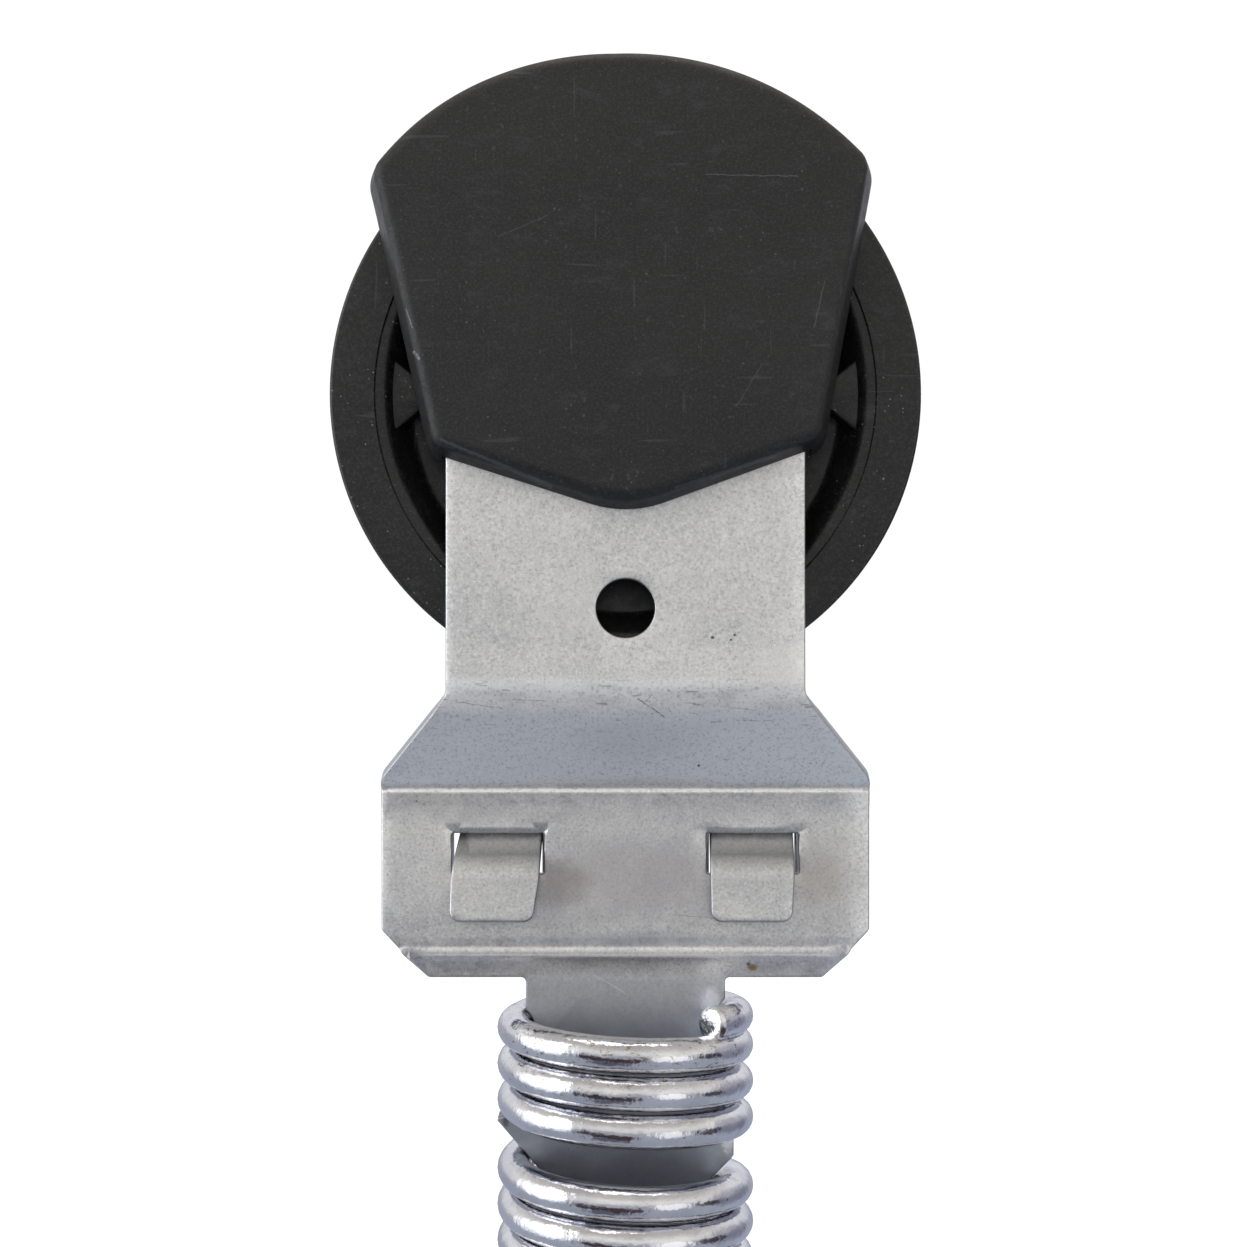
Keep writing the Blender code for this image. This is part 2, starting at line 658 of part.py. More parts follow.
def make_hood(name, side, parent):
    hood = add_object(name, hood_body(side, 0), BLACK_PLASTIC, parent)
    wheel_room = drum(WHEEL_CLEARANCE_R, *sorted((side * -1 * MM, side * 9.4 * MM)))
    skirt_low, skirt_high = sorted((side * -1.5 * MM, side * 9.4 * MM))
    skirt = prism(rectangle(-60 * MM, 60 * MM, -40 * MM, 30.5 * MM), skirt_low, skirt_high)
    arm_low, arm_high = sorted((side * -2 * MM, side * (ARM_OFFSET + SHEET / 2 + GAP)))
    arm_room = prism(rectangle(-ARM_HALF - 0.8 * MM, ARM_HALF + 0.8 * MM, -40 * MM, 5 * MM), arm_low, arm_high)
    cut(hood, hood_body(side, HOOD_WALL), wheel_room, skirt, arm_room)
    front = side * (HOOD_FRONT - HOOD_WALL / 2)
    boss_end = side * (ARM_OFFSET + SHEET / 2 + 0.7 * MM)
    low, high = sorted((front, boss_end))
    if side < 0:
        unite(hood, tube(AXLE_HEAD_R + 0.7 * MM, 11.6 * MM, low, high))
        for angle in (58, 90, 122):
            unite(hood, snap_hook(angle))
    else:
        unite(hood, tube(11.2 * MM, 13.2 * MM, low, high))
        cut(hood, drum(11.2 * MM, 10 * MM, 25 * MM))
    return hood


def snap_hook(angle):
    """A flat finger under the roof that reaches past the seam."""
    outer = HOOD_TOP_R - HOOD_WALL - GAP
    spread = 5.0
    finger = arc(0, 0, outer, angle - spread, angle + spread, 4)
    finger += arc(0, 0, outer - 1.5 * MM, angle + spread, angle - spread, 4)
    bm = prism(finger, -4 * MM, 4.5 * MM)
    root = arc(0, 0, outer + 1.0 * MM, angle - spread + 1, angle + spread - 1, 4)
    root += arc(0, 0, outer - 0.7 * MM, angle + spread - 1, angle - spread + 1, 4)
    holder = add_object("finger", bm, None)
    unite(holder, prism(root, -3.6 * MM, -0.6 * MM))
    joined = bmesh.new()
    joined.from_mesh(holder.data)
    bpy.data.objects.remove(holder, do_unlink=True)
    return joined


# ---------------------------------------------------------------- assembly

clear_scene()

BLACK_NYLON = material("black_nylon", (0.018, 0.018, 0.02), 0.42, 0.0)
BLACK_PLASTIC = material("black_plastic", (0.03, 0.03, 0.032), 0.55, 0.0)
GALVANISED_STEEL = material("galvanised_steel", (0.52, 0.51, 0.5), 0.45, 0.9)
ZINC_WIRE = material("zinc_wire", (0.72, 0.74, 0.78), 0.22, 1.0)
ZINC_STEEL = material("zinc_steel", (0.6, 0.61, 0.62), 0.3, 1.0)
BEARING_STEEL = material("bearing_steel", (0.55, 0.55, 0.56), 0.15, 1.0)
CAGE_BRASS = material("cage_brass", (0.55, 0.4, 0.16), 0.35, 1.0)
SEAL_RUBBER = material("seal_rubber", (0.02, 0.02, 0.02), 0.7, 0.0)
SPRING_STEEL = material("spring_steel", (0.2, 0.2, 0.21), 0.35, 1.0)
NYLON = material("nylon", (0.1, 0.25, 0.6), 0.5, 0.0)

ANCHOR_EYE_Z = 2 * wire_height(TURNS / 2) - SHOULDER_Z - EYE_BELOW_SHOULDER

bracket_frame = add_empty("bracket_frame", (0, 0, 0))
wheel_axis = add_empty("wheel_axis", (0, 0, 0))
cage_axis = add_empty("cage_axis", (0, 0, 0))
anchor_frame = add_empty("anchor_frame", (0, 0, ANCHOR_EYE_Z))

make_wheel(wheel_axis)
make_bearing(bracket_frame, wheel_axis, cage_axis)
make_retaining_ring(wheel_axis)
make_axle(bracket_frame)
make_plates(bracket_frame)
for hood_name, hood_side in (("hood_front", -1), ("hood_rear", 1)):
    make_hood(hood_name, hood_side, bracket_frame).rotation_euler = (0, HOOD_LEAN, 0)
make_spring(bracket_frame)
make_anchor(ANCHOR_EYE_Z, anchor_frame)
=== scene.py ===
"""Looks for a cable pulley in a two-plate bracket with a guard hood and an extension spring.

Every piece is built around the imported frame, in metres, +Y away from the camera and +Z up.
"""
import math

import bmesh
import bpy
import numpy as np
from mathutils import Matrix, Vector
from mathutils.geometry import delaunay_2d_cdt


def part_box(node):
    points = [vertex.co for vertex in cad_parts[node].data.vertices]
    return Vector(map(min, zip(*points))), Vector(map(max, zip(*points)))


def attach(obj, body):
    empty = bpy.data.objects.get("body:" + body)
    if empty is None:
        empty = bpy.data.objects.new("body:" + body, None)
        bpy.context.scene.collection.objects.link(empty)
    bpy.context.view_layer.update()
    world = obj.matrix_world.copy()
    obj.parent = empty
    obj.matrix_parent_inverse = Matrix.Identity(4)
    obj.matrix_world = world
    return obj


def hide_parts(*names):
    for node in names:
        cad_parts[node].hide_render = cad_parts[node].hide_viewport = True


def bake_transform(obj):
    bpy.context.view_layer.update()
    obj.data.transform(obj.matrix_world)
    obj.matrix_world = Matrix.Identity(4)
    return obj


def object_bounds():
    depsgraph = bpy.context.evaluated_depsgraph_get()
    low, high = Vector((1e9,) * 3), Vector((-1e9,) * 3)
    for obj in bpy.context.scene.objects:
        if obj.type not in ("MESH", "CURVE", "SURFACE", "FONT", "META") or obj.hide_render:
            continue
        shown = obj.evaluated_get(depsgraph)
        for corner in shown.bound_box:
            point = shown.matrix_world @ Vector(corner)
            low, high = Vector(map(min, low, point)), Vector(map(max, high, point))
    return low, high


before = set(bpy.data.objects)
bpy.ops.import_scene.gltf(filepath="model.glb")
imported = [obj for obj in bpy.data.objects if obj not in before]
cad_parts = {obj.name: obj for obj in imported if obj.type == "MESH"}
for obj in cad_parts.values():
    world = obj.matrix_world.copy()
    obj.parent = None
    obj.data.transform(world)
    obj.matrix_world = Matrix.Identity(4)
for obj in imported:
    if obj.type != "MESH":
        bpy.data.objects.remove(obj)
cad_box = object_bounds()

MM = 0.001

# Wheel
WHEEL_R = 49.98 * MM
WHEEL_HALF = 8.5 * MM
GROOVE_R = 43 * MM
RECESS_FLOOR_R = 36.6 * MM
WEB_HALF = 2.6 * MM
HUB_R = 19.5 * MM
HUB_HALF = 7.4 * MM
SEAT_R = 15.3 * MM
RIB_COUNT = 6
RIB_HALF = 1.25 * MM
RIB_TOP = 6.6 * MM

# Sheet-steel plates
SHEET = 2.4 * MM
ARM_OFFSET = 11.2 * MM
JOINED_OFFSET = 1.35 * MM
TONGUE_SHIFT = 1.2 * MM
ARM_HALF = 30 * MM
BODY_HALF = 42 * MM
UPPER_BEND_Z = -50.6 * MM
BEND_TOP_Z = -51.5 * MM              # the centre line's corners, where the rounded bends look centred
BEND_FOOT_Z = -66.8 * MM
SHIFT_TOP_Z = -94.8 * MM
SHIFT_BOTTOM_Z = -98.2 * MM
SHOULDER_Z = -99.6 * MM
SHOULDER_HALF = 34 * MM
CHAMFER_Z = -91.3 * MM
FLARE_Z = -64.8 * MM
TONGUE_HALF = 17.2 * MM
TONGUE_END_Z = -136.5 * MM
HOLE_Z = -36.4 * MM
HOLE_R = 4.9 * MM
SLOT_TOP_Z = -73.6 * MM
SLOT_BOTTOM_Z = -81.6 * MM
SLOT_INNER_X = 14.0 * MM
SLOT_OUTER_X = 29.8 * MM
TAB_TIP_Z = -89.7 * MM
WINDOW_BOTTOM_Z = -90.4 * MM
TAB_RAMP = 7 * MM
# each tab's low and high edge in x, mm, at its root, at the end of its ramp and at its tip
TAB_EDGES = {-1: ((-28.5, -14.35), (-29.9, -14.75), (-30.1, -15.9)),
             1: ((14.6, 29.0), (14.55, 28.9), (14.7, 28.5))}
REAR_WINDOW_X = {-1: (-29.8, -14.4), 1: (14.5, 29.4)}     # mm; the sheet beside it shows behind the tab
ROLLED_SLOT_TOP_Z = -74.7 * MM       # where the front plate's rolled edge ends
EDGE_ROLL = 0.9 * MM                 # how far the rolled edges fall back
RIM_EDGE = 0.32 * MM                 # a sheet's rounded border
PIN_HOLE_R = 5.2 * MM
# pressed ridges across the front plate: mm along the sheet from the bend, mm raised
ARM_SWELL = [(-8.0, 0), (-2.6, 0.20), (-1.6, 0.22), (2.4, 0.0)]
UPPER_RIDGE = [(-2.6, 0), (-1.3, -0.16), (-0.6, -0.16), (0.0, 0.12), (0.6, 0.48), (0.8, 0.48),
               (1.2, 0.40), (3.6, 0.10), (6.0, 0)]
LOWER_RIDGE = [(-6.0, 0), (-2.2, -0.12), (-0.7, -0.26), (-0.4, -0.25), (0.5, 0.14), (0.8, 0.15), (1.6, 0)]

# Spring
SPRING_R = 19.2 * MM
WIRE_R = 2.93 * MM
PITCH = 6.2 * MM
TOOTH_STEP = 5.6 * MM
FIRST_LEFT_Z = -108.0 * MM
TURNS = 13.5
TAIL_TURNS = 0.6136
TAIL_PITCH = 3.8 * MM
HELD_TURNS = 3                       # closed on the teeth at each end

# Lower anchor, about the centre of its eye
EYE_Z = sum(p.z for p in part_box("anchor_bush")) / 2
EYE_R = 7.0 * MM
EYE_OUTER_R = 13.97 * MM
EYE_BELOW_SHOULDER = 17 * MM
ANCHOR_SHOULDER_HALF = 23 * MM
RIVET_X = 12 * MM
RIVET_HEIGHT = 12 * MM
RIVET_HOLE_R = 2.9 * MM

# Hood
HOOD_TOP_R = 56.15 * MM
HOOD_SWELL = 0.55 * MM               # fuller than a circle at the dome's shoulders
HOOD_SHIFT = 0.7 * MM                # the dome's, to the left
HOOD_SIDE_TOP = (41.9 * MM, 32.8 * MM)
HOOD_SIDE_BOTTOM = (33.4 * MM, -9.6 * MM)
HOOD_CHIN_Z = -21.9 * MM
HOOD_CHIN_SLOPE = 0.34
HOOD_WALL = 1.9 * MM
HOOD_FRONT = 18.3 * MM
HOOD_LEAN = math.radians(-1.1)
HOOD_BOSS = {-1: (9.7 * MM, 11.6 * MM), 1: (11.2 * MM, 13.2 * MM)}    # inner and outer radius
SKIRT_TOP_Z = 30.5 * MM              # the hood is open at its sides below this
WHEEL_CLEARANCE_R = 51.3 * MM

# Axle
AXLE_R = 4.8 * MM
AXLE_END = 23.2 * MM
THREAD_TURNS = 7
BORE_R = 5.1 * MM
BEARING_HALF = 4.8 * MM              # half the bearing's room in the hub
GAP = 0.3 * MM                       # between pieces that touch
PLATE_FACE = ARM_OFFSET + SHEET / 2


# ---------------------------------------------------------------- shader nodes

class Graph:
    """Short calls for building the nodes of one material, or of the world."""

    def __init__(self, owner, coordinates="Object"):
        owner.use_nodes = True
        self.owner = owner
        self.tree = owner.node_tree
        self.place = self.node("TexCoord").outputs[coordinates]
        self.base = None

    def put(self, socket, value):
        """Links another node's output to the socket, or sets a constant on it."""
        if isinstance(value, bpy.types.NodeSocket):
            self.tree.links.new(value, socket)
        elif socket.type == "RGBA":
            socket.default_value = (*value, 1)
        else:
            socket.default_value = value

    def fill(self, node, values):
        """Puts values in a node's named inputs; an underscore stands for a space."""
        for name, value in values.items():
            self.put(node.inputs[name.replace("_", " ")], value)
        return node

    def node(self, kind, **values):
        return self.fill(self.tree.nodes.new("ShaderNode" + kind), values)

    def scaled(self, x=1, y=1, z=1):
        """The coordinates in millimetres, stretched by these factors."""
        return self.node("Mapping", Vector=self.place, Scale=(x / MM, y / MM, z / MM)).outputs[0]

    def noise(self, scale, detail=3, roughness=0.55, stretch=(1, 1, 1)):
        place = self.scaled(*stretch)
        node = self.node("TexNoise", Vector=place, Scale=scale, Detail=detail, Roughness=roughness)
        return node.outputs["Fac"]

    def cells(self, scale, output="Distance"):
        return self.node("TexVoronoi", Vector=self.scaled(), Scale=scale).outputs[output]

    def span(self, value, low, high, out_low=0.0, out_high=1.0):
        node = self.node("MapRange", Value=value, From_Min=low, From_Max=high,
                         To_Min=out_low, To_Max=out_high)
        node.interpolation_type = "SMOOTHSTEP"
        return node.outputs[0]

    def math(self, operation, a, b=0.0):
        node = self.node("Math")
        node.operation = operation
        self.put(node.inputs[0], a)
        self.put(node.inputs[1], b)
        return node.outputs[0]

    def times(self, a, b):
        return self.math("MULTIPLY", a, b)

    def dot(self, vector, direction):
        node = self.node("VectorMath")
        node.operation = "DOT_PRODUCT"
        self.put(node.inputs[0], vector)
        self.put(node.inputs[1], direction)
        return node.outputs["Value"]

    def mix(self, factor, a, b, kind="MIX"):
        node = self.node("Mix")
        node.data_type = "RGBA"
        node.blend_type = kind
        for index, value in ((0, factor), (6, a), (7, b)):
            self.put(node.inputs[index], value)
        return node.outputs[2]

    def paint(self, factor, tint):
        """Lays a tint over the base colour so far."""
        self.base = self.mix(factor, self.base, tint)

    def axis(self, name):
        """One coordinate in millimetres."""
        return self.node("SeparateXYZ", Vector=self.scaled()).outputs[name]

    def vertex_value(self, name):
        node = self.node("Attribute")
        node.attribute_name = name
        return node.outputs["Fac"]

    def along(self, x, z, direction):
        """Millimetres past the point (x, z) in an (x, z) direction."""
        reach = self.dot(self.scaled(), (direction[0], 0, direction[1]))
        return self.math("SUBTRACT", reach, x * direction[0] + z * direction[1])

    def patch(self, x, z, half_x, half_z, strength):
        """A soft, ragged patch round the point (x, z), sizes in millimetres."""
        squares = []
        for direction, half in (((1, 0), half_x), ((0, 1), half_z)):
            share = self.math("DIVIDE", self.along(x, z, direction), half)
            squares.append(self.math("POWER", self.math("ABSOLUTE", share), 2))
        ragged = self.math("ADD", self.math("ADD", *squares), self.noise(2.0 / min(half_x, half_z)))
        return self.span(ragged, 1.5, 0.5, 0.0, strength)

    def line(self, x0, z0, x1, z1, half, strength):
        """A broken, slightly wavy line between two points, sizes in millimetres: a scratch, or a painted
        highlight along a crease.
        """
        length = math.hypot(x1 - x0, z1 - z0)
        u = ((x1 - x0) / length, (z1 - z0) / length)
        x, z = (x0 + x1) / 2, (z0 + z1) / 2
        ends = self.span(self.math("ABSOLUTE", self.along(x, z, u)), length / 2, length / 2 - 0.3)
        wobble = self.times(self.math("SUBTRACT", self.noise(0.8, 2), 0.5), 0.5)
        off = self.math("ABSOLUTE", self.math("ADD", self.along(x, z, (-u[1], u[0])), wobble))
        body = self.span(off, half, half * 0.4)
        broken = self.span(self.noise(1.5, 2), 0.38, 0.5, 0.3, strength)
        return self.times(self.times(ends, body), broken)

    def finish(self, rough, *bumps, **values):
        """Joins the material's values to its shader; each bump is (height, distance in mm, strength)."""
        normal = None
        for height, distance, strength in bumps:
            node = self.node("Bump", Height=height, Distance=distance * MM, Strength=strength)
            if normal:
                self.put(node.inputs["Normal"], normal)
            normal = node.outputs[0]
        if normal:
            values["Normal"] = normal
        values.update(Base_Color=self.base, Roughness=rough)
        self.fill(self.tree.nodes["Principled BSDF"], values)
        return self.owner


def new_material(name):
    return Graph(bpy.data.materials.new(name))


def fill_ramp(ramp, stops):
    elements = ramp.color_ramp.elements
    while len(elements) > 1:
        elements.remove(elements[-1])
    for i, (position, colour) in enumerate(stops):
        element = elements[0] if i == 0 else elements.new(position)
        element.position = position
        element.color = (*colour, 1)


# ---------------------------------------------------------------- camera, light, stage

CAMERA_PLACE = (-0.32 * MM, -323.9 * MM, -50.4 * MM)
CAMERA_SHIFT = 0.055
LENS = 54                           # mm, on a sensor 36 mm wide
FLOOR_DROP = 70 * MM                # below the part, so the stretched spring stays above it
FLOOR_HALF = 4.0
LIGHT_TARGET = (0, 0, -0.05)

# Studio gradient from straight down (0) through the horizon (0.5) to straight up (1)
STUDIO_STOPS = [
    (0.0, (0.38, 0.41, 0.48)), (0.25, (0.43, 0.465, 0.54)), (0.42, (0.46, 0.475, 0.52)),
    (0.50, (0.56, 0.56, 0.57)), (0.57, (0.88, 0.87, 0.84)), (0.70, (0.98, 0.96, 0.91)),
    (0.85, (0.66, 0.63, 0.59)), (1.0, (0.52, 0.50, 0.47)),
]
# Patches of the studio, in degrees: blend kind, azimuth to the right of straight behind the camera's
# place, elevation, full within, gone beyond, colour
STUDIO_GLOWS = [
    ("ADD", -78, 4, 16, 38, (1.10, 1.15, 1.20)),
    ("ADD", 42, -10, 10, 22, (0.70, 0.68, 0.64)),
    ("MULTIPLY", -30, -22, 9, 18, (0.14, 0.11, 0.11)),
    ("MULTIPLY", -4, -30, 11, 19, (0.18, 0.12, 0.11)),
    ("MULTIPLY", -22, -52, 10, 20, (0.34, 0.31, 0.35)),
    ("MULTIPLY", 82, -8, 9, 16, (0.22, 0.20, 0.21)),
    ("MULTIPLY", 108, 0, 16, 36, (0.52, 0.52, 0.60)),
    ("MULTIPLY", 180, 0, 30, 80, (0.88, 0.91, 1.0)),
]


def make_camera():
    data = bpy.data.cameras.new("camera")
    data.lens = LENS
    data.sensor_width = 36
    data.shift_y = CAMERA_SHIFT
    data.clip_start = 0.01
    camera = bpy.data.objects.new("camera", data)
    camera.location = CAMERA_PLACE
    camera.rotation_euler = (math.radians(90), 0, 0)
    bpy.context.collection.objects.link(camera)
    bpy.context.scene.camera = camera


def area_light(name, location, size, power, colour):
    data = bpy.data.lights.new(name, "AREA")
    data.shape = "RECTANGLE"
    data.size, data.size_y = size
    data.energy = power
    data.color = colour
    light = bpy.data.objects.new(name, data)
    light.location = location
    aim = Vector(LIGHT_TARGET) - Vector(location)
    light.rotation_euler = aim.to_track_quat("-Z", "Y").to_euler()
    bpy.context.collection.objects.link(light)


def make_lights():
    """Soft boxes; the sheet and the wire also mirror the studio gradient in make_world."""
    area_light("top_light", (0.02, -0.04, 0.75), (0.7, 0.5), 1.6, (1.0, 0.965, 0.92))
    area_light("left_light", (-0.75, -0.35, 0.12), (0.4, 0.9), 1.4, (0.9, 0.95, 1.0))


def make_world():
    """White to the camera; a soft studio, darker straight ahead and below, to everything else."""
    world = bpy.data.worlds.new("studio")
    bpy.context.scene.world = world
    g = Graph(world, "Generated")
    height = g.node("SeparateXYZ", Vector=g.place).outputs["Z"]
    ramp = g.node("ValToRGB", Fac=g.node("MapRange", Value=height, From_Min=-1).outputs[0])
    fill_ramp(ramp, STUDIO_STOPS)
    colour = ramp.outputs["Color"]
    for kind, azimuth, elevation, near, far, tint in STUDIO_GLOWS:
        turn, lift = math.radians(azimuth), math.radians(elevation)
        direction = (math.cos(lift) * math.sin(turn), -math.cos(lift) * math.cos(turn), math.sin(lift))
        closeness = g.dot(g.place, Vector(direction).normalized())
        glow = g.span(closeness, math.cos(math.radians(far)), math.cos(math.radians(near)))
        colour = g.mix(glow, colour, tint, kind)
    lit = g.fill(g.tree.nodes["Background"], {"Color": colour, "Strength": 1.0})
    seen = g.node("Background", Color=(1, 1, 1), Strength=1.05)
    mix = g.node("MixShader", Fac=g.node("LightPath").outputs["Is Camera Ray"])
    g.put(mix.inputs[1], lit.outputs[0])
    g.put(mix.inputs[2], seen.outputs[0])
    g.put(g.tree.nodes["World Output"].inputs["Surface"], mix.outputs[0])


def make_floor():
    bm = bmesh.new()
    z = cad_box[0].z - FLOOR_DROP
    signs = ((-1, -1), (1, -1), (1, 1), (-1, 1))
    bm.faces.new([bm.verts.new((x * FLOOR_HALF, y * FLOOR_HALF, z)) for x, y in signs])
    floor = mesh_object("floor", bm, smooth=0)
    floor.data.materials.append(floor_material())
    floor.visible_glossy = False


# ---------------------------------------------------------------- materials

def floor_material():
    """Pale and matte, lifted to the backdrop's white where it is seen directly."""
    g = new_material("studio_floor")
    seen = g.node("LightPath").outputs["Is Camera Ray"]
    pale = g.mix(g.noise(0.002, 2), (0.80, 0.81, 0.83), (0.84, 0.85, 0.87))
    g.base = g.mix(seen, (0.20, 0.235, 0.30), pale)
    return g.finish(0.95, Emission_Color=(1, 1, 1), Emission_Strength=g.times(seen, 0.62))


# Marks and painted light on the plates, mm: soft patches are (x, z, half width, half height, tint,
# strength); besides wear, stains, rust and pits, some are painted shade and highlights
PLATE_MARKS_AND_PAINTED_LIGHT = [
    (13.9, -56.1, 6.5, 1.3, (0.86, 0.86, 0.86), 0.45),
    (-12.8, -62.5, 2.2, 2.4, (0.84, 0.86, 0.88), 0.30),
    (2.0, -58.6, 15.0, 4.6, (0.50, 0.54, 0.58), 0.22),
    # partly brown stain, partly painted shadow cast by each tab on the plate to its right
    (-11.6, -83.2, 7.5, 5.2, (0.30, 0.24, 0.21), 0.62),
    (33.2, -82.2, 5.5, 6.0, (0.42, 0.36, 0.27), 0.34),
    (34.5, -82.0, 10.0, 11.0, (0.46, 0.44, 0.42), 0.32),
    # a brownish patch between the tabs
    (3.0, -82.2, 17.0, 6.5, (0.62, 0.52, 0.46), 0.30),
    # a rust speck, then small pits
    (21.9, -97.8, 1.1, 0.8, (0.40, 0.25, 0.07), 0.9),
    (21.2, -97.2, 0.5, 0.45, (0.22, 0.12, 0.05), 0.85),
    (14.5, -41.3, 0.40, 0.32, (0.05, 0.05, 0.05), 0.95),
    (18.2, -40.9, 0.30, 0.28, (0.05, 0.05, 0.05), 0.95),
    (17.6, -41.7, 0.30, 0.24, (0.05, 0.05, 0.05), 0.95),
    (12.5, -62.9, 0.30, 0.30, (0.04, 0.04, 0.04), 0.95),
    # lighter worn patches on the arms
    (27.0, -45.8, 8.0, 4.5, (0.88, 0.87, 0.85), 0.45),
    (-8.0, -37.0, 9.0, 4.0, (0.84, 0.83, 0.81), 0.25),
    # painted shade: a darker bluish band above the lower ridge
    (0.0, -92.8, 24.0, 1.7, (0.46, 0.50, 0.58), 0.40),
    # painted shade: the middle of the body darkened
    (1.5, -82.0, 30.0, 11.5, (0.42, 0.42, 0.45), 0.44),
    # painted highlight on the right tooth, then a small dark spot at its top
    (17.6, -127.4, 1.4, 3.2, (0.90, 0.93, 0.96), 0.75),
    (16.9, -124.0, 0.9, 0.5, (0.05, 0.05, 0.05), 0.9),
    # painted highlight: a light band down the tongue's right edge
    (14.9, -104.2, 2.0, 3.6, (0.92, 0.95, 1.0), 0.55),
    # a dark mark along the left tooth's edge
    (-20.6, -124.2, 0.8, 1.6, (0.10, 0.10, 0.11), 0.7),
]
# Scratches and painted crease highlights, mm: (x, z) to (x, z), half width, light or dark, strength
SCRATCHES_AND_CREASE_HIGHLIGHTS = [
    (1.9, -51.4, 6.6, -54.6, 0.13, 0.10, 0.8),
    (3.0, -52.2, 4.6, -50.7, 0.10, 0.12, 0.7),
    (-13.8, -68.5, -11.6, -73.0, 0.10, 0.85, 0.5),
    (-7.1, -98.1, 0.4, -102.6, 0.15, 0.80, 0.55),
    (-6.9, -98.2, -6.1, -100.4, 0.12, 0.80, 0.45),
    # painted highlights: bright lines along the crease at the slope's foot and along the lower ridge
    (-41.0, -67.15, 41.0, -67.15, 0.50, 1.0, 0.85),
    (-37.0, -95.7, 37.0, -95.7, 0.40, 1.0, 0.60),
    (19.4, -39.2, 21.0, -40.7, 0.14, 0.95, 0.6),
    (-28.0, -52.0, -20.5, -53.2, 0.09, 0.12, 0.6),
    (-19.0, -51.6, -13.0, -51.9, 0.08, 0.14, 0.55),
    (16.0, -52.8, 22.0, -53.5, 0.08, 0.14, 0.5),
    (8.0, -88.6, 15.5, -89.3, 0.09, 0.18, 0.45),
]


def galvanised_steel():
    """Zinc-coated sheet: fine grain, soft mottling, wear, stains, scratches and pits, with painted light: a
    lighter slope and bend, a darker tongue, borders and tab ramps, shadows beside the tabs and bright lines
    along the creases.
    """
    g = new_material("galvanised_steel")
    height = g.axis("Z")
    g.base = g.mix(g.span(g.noise(0.05, 4, 0.6), 0.35, 0.65), (0.71, 0.71, 0.71), (0.81, 0.80, 0.78))
    crystal = g.node("SeparateColor", Color=g.cells(0.35, output="Color")).outputs[0]
    g.paint(g.times(g.noise(0.9), 0.25), g.mix(crystal, (0.55, 0.56, 0.58), (0.88, 0.87, 0.85)))
    # painted light: the slope between the bends is lightened and made less metallic, as if lit, and the
    # upper bend gets a streaky lighter band, partly wear and partly a painted bend highlight
    painted_slope_light = g.times(g.span(height, -52.5, -54.5), g.span(height, -66.6, -65.6))
    g.paint(g.times(painted_slope_light, 0.75), (0.95, 0.98, 1.0))
    bend_wear_and_highlight = g.times(g.span(height, -47.2, -49.4), g.span(height, -56.0, -52.6))
    streaks = g.noise(0.35, 4, 0.7, (0.35, 1.0, 1.0))
    bend_wear_and_highlight = g.times(bend_wear_and_highlight, g.span(streaks, 0.30, 0.60, 0.45, 1.0))
    g.paint(bend_wear_and_highlight, (0.93, 0.93, 0.93))
    matt = g.math("MAXIMUM", bend_wear_and_highlight, g.times(painted_slope_light, 0.40))
    grain = g.noise(1.9, 3, 0.8)
    g.paint(g.span(grain, 0.50, 0.72, 0.0, 0.75), (1.0, 1.0, 0.98))
    g.paint(g.span(grain, 0.50, 0.30, 0.0, 0.60), (0.36, 0.36, 0.37))
    # painted shade: the strip and the tongue inside the spring are darkened and turned bluish, as they lie
    # in shade; the lower anchor isn't
    above_anchor = g.span(height, -214.0, -206.0)
    painted_tongue_shade = g.times(g.span(height, -99.0, -109.0), above_anchor)
    g.paint(g.times(painted_tongue_shade, 0.66), (0.28, 0.34, 0.42))
    painted_lower_shade = g.times(g.span(height, -97.6, -101.0), above_anchor)
    g.paint(g.times(painted_lower_shade, 0.55), (0.33, 0.35, 0.40))
    behind_tabs = g.math("MAXIMUM", g.span(g.axis("Y"), -3.6, -3.0), g.span(height, -72.0, -71.0))
    for x, z, half_x, half_z, tint, strength in PLATE_MARKS_AND_PAINTED_LIGHT:
        g.paint(g.times(behind_tabs, g.patch(x, z, half_x, half_z, strength)), tint)
    marks = None
    for x0, z0, x1, z1, half, tone, strength in SCRATCHES_AND_CREASE_HIGHLIGHTS:
        line = g.line(x0, z0, x1, z1, half, strength)
        g.paint(line, (tone, tone, tone))
        marks = g.math("MAXIMUM", marks, line) if marks else line
    hair = g.span(g.noise(0.9, 2, 0.5, (0.25, 1.0, 1.8)), 0.665, 0.70)
    near_bend = g.times(g.span(height, -46.5, -50.5), g.span(height, -59.0, -53.0))
    hair = g.times(hair, g.times(near_bend, 0.55))
    g.paint(hair, (0.14, 0.14, 0.15))
    pit = g.times(g.span(g.cells(0.30), 0.05, 0.03), g.span(g.noise(0.2, 2), 0.52, 0.60))
    g.paint(g.times(pit, 0.8), (0.10, 0.09, 0.08))
    # painted shade: the sheet's rounded borders are darkened, as the edge's thickness looks in shadow
    g.paint(g.times(g.vertex_value("rim"), 0.72), (0.24, 0.25, 0.28))
    # painted shade: the tabs' ramps, where they lie back in the slots, are darkened by a value set in
    # make_plates
    g.paint(g.times(g.vertex_value("painted_ramp_shade"), 0.80), (0.16, 0.17, 0.18))
    return g.finish(g.span(g.noise(0.35, 5, 0.65), 0.3, 0.7, 0.37, 0.50),
                    (g.noise(2.6, 4, 0.75), 0.03, 0.4), (g.math("MAXIMUM", marks, hair), 0.03, -0.5),
                    Metallic=g.span(matt, 0.0, 1.0, 0.94, 0.25))


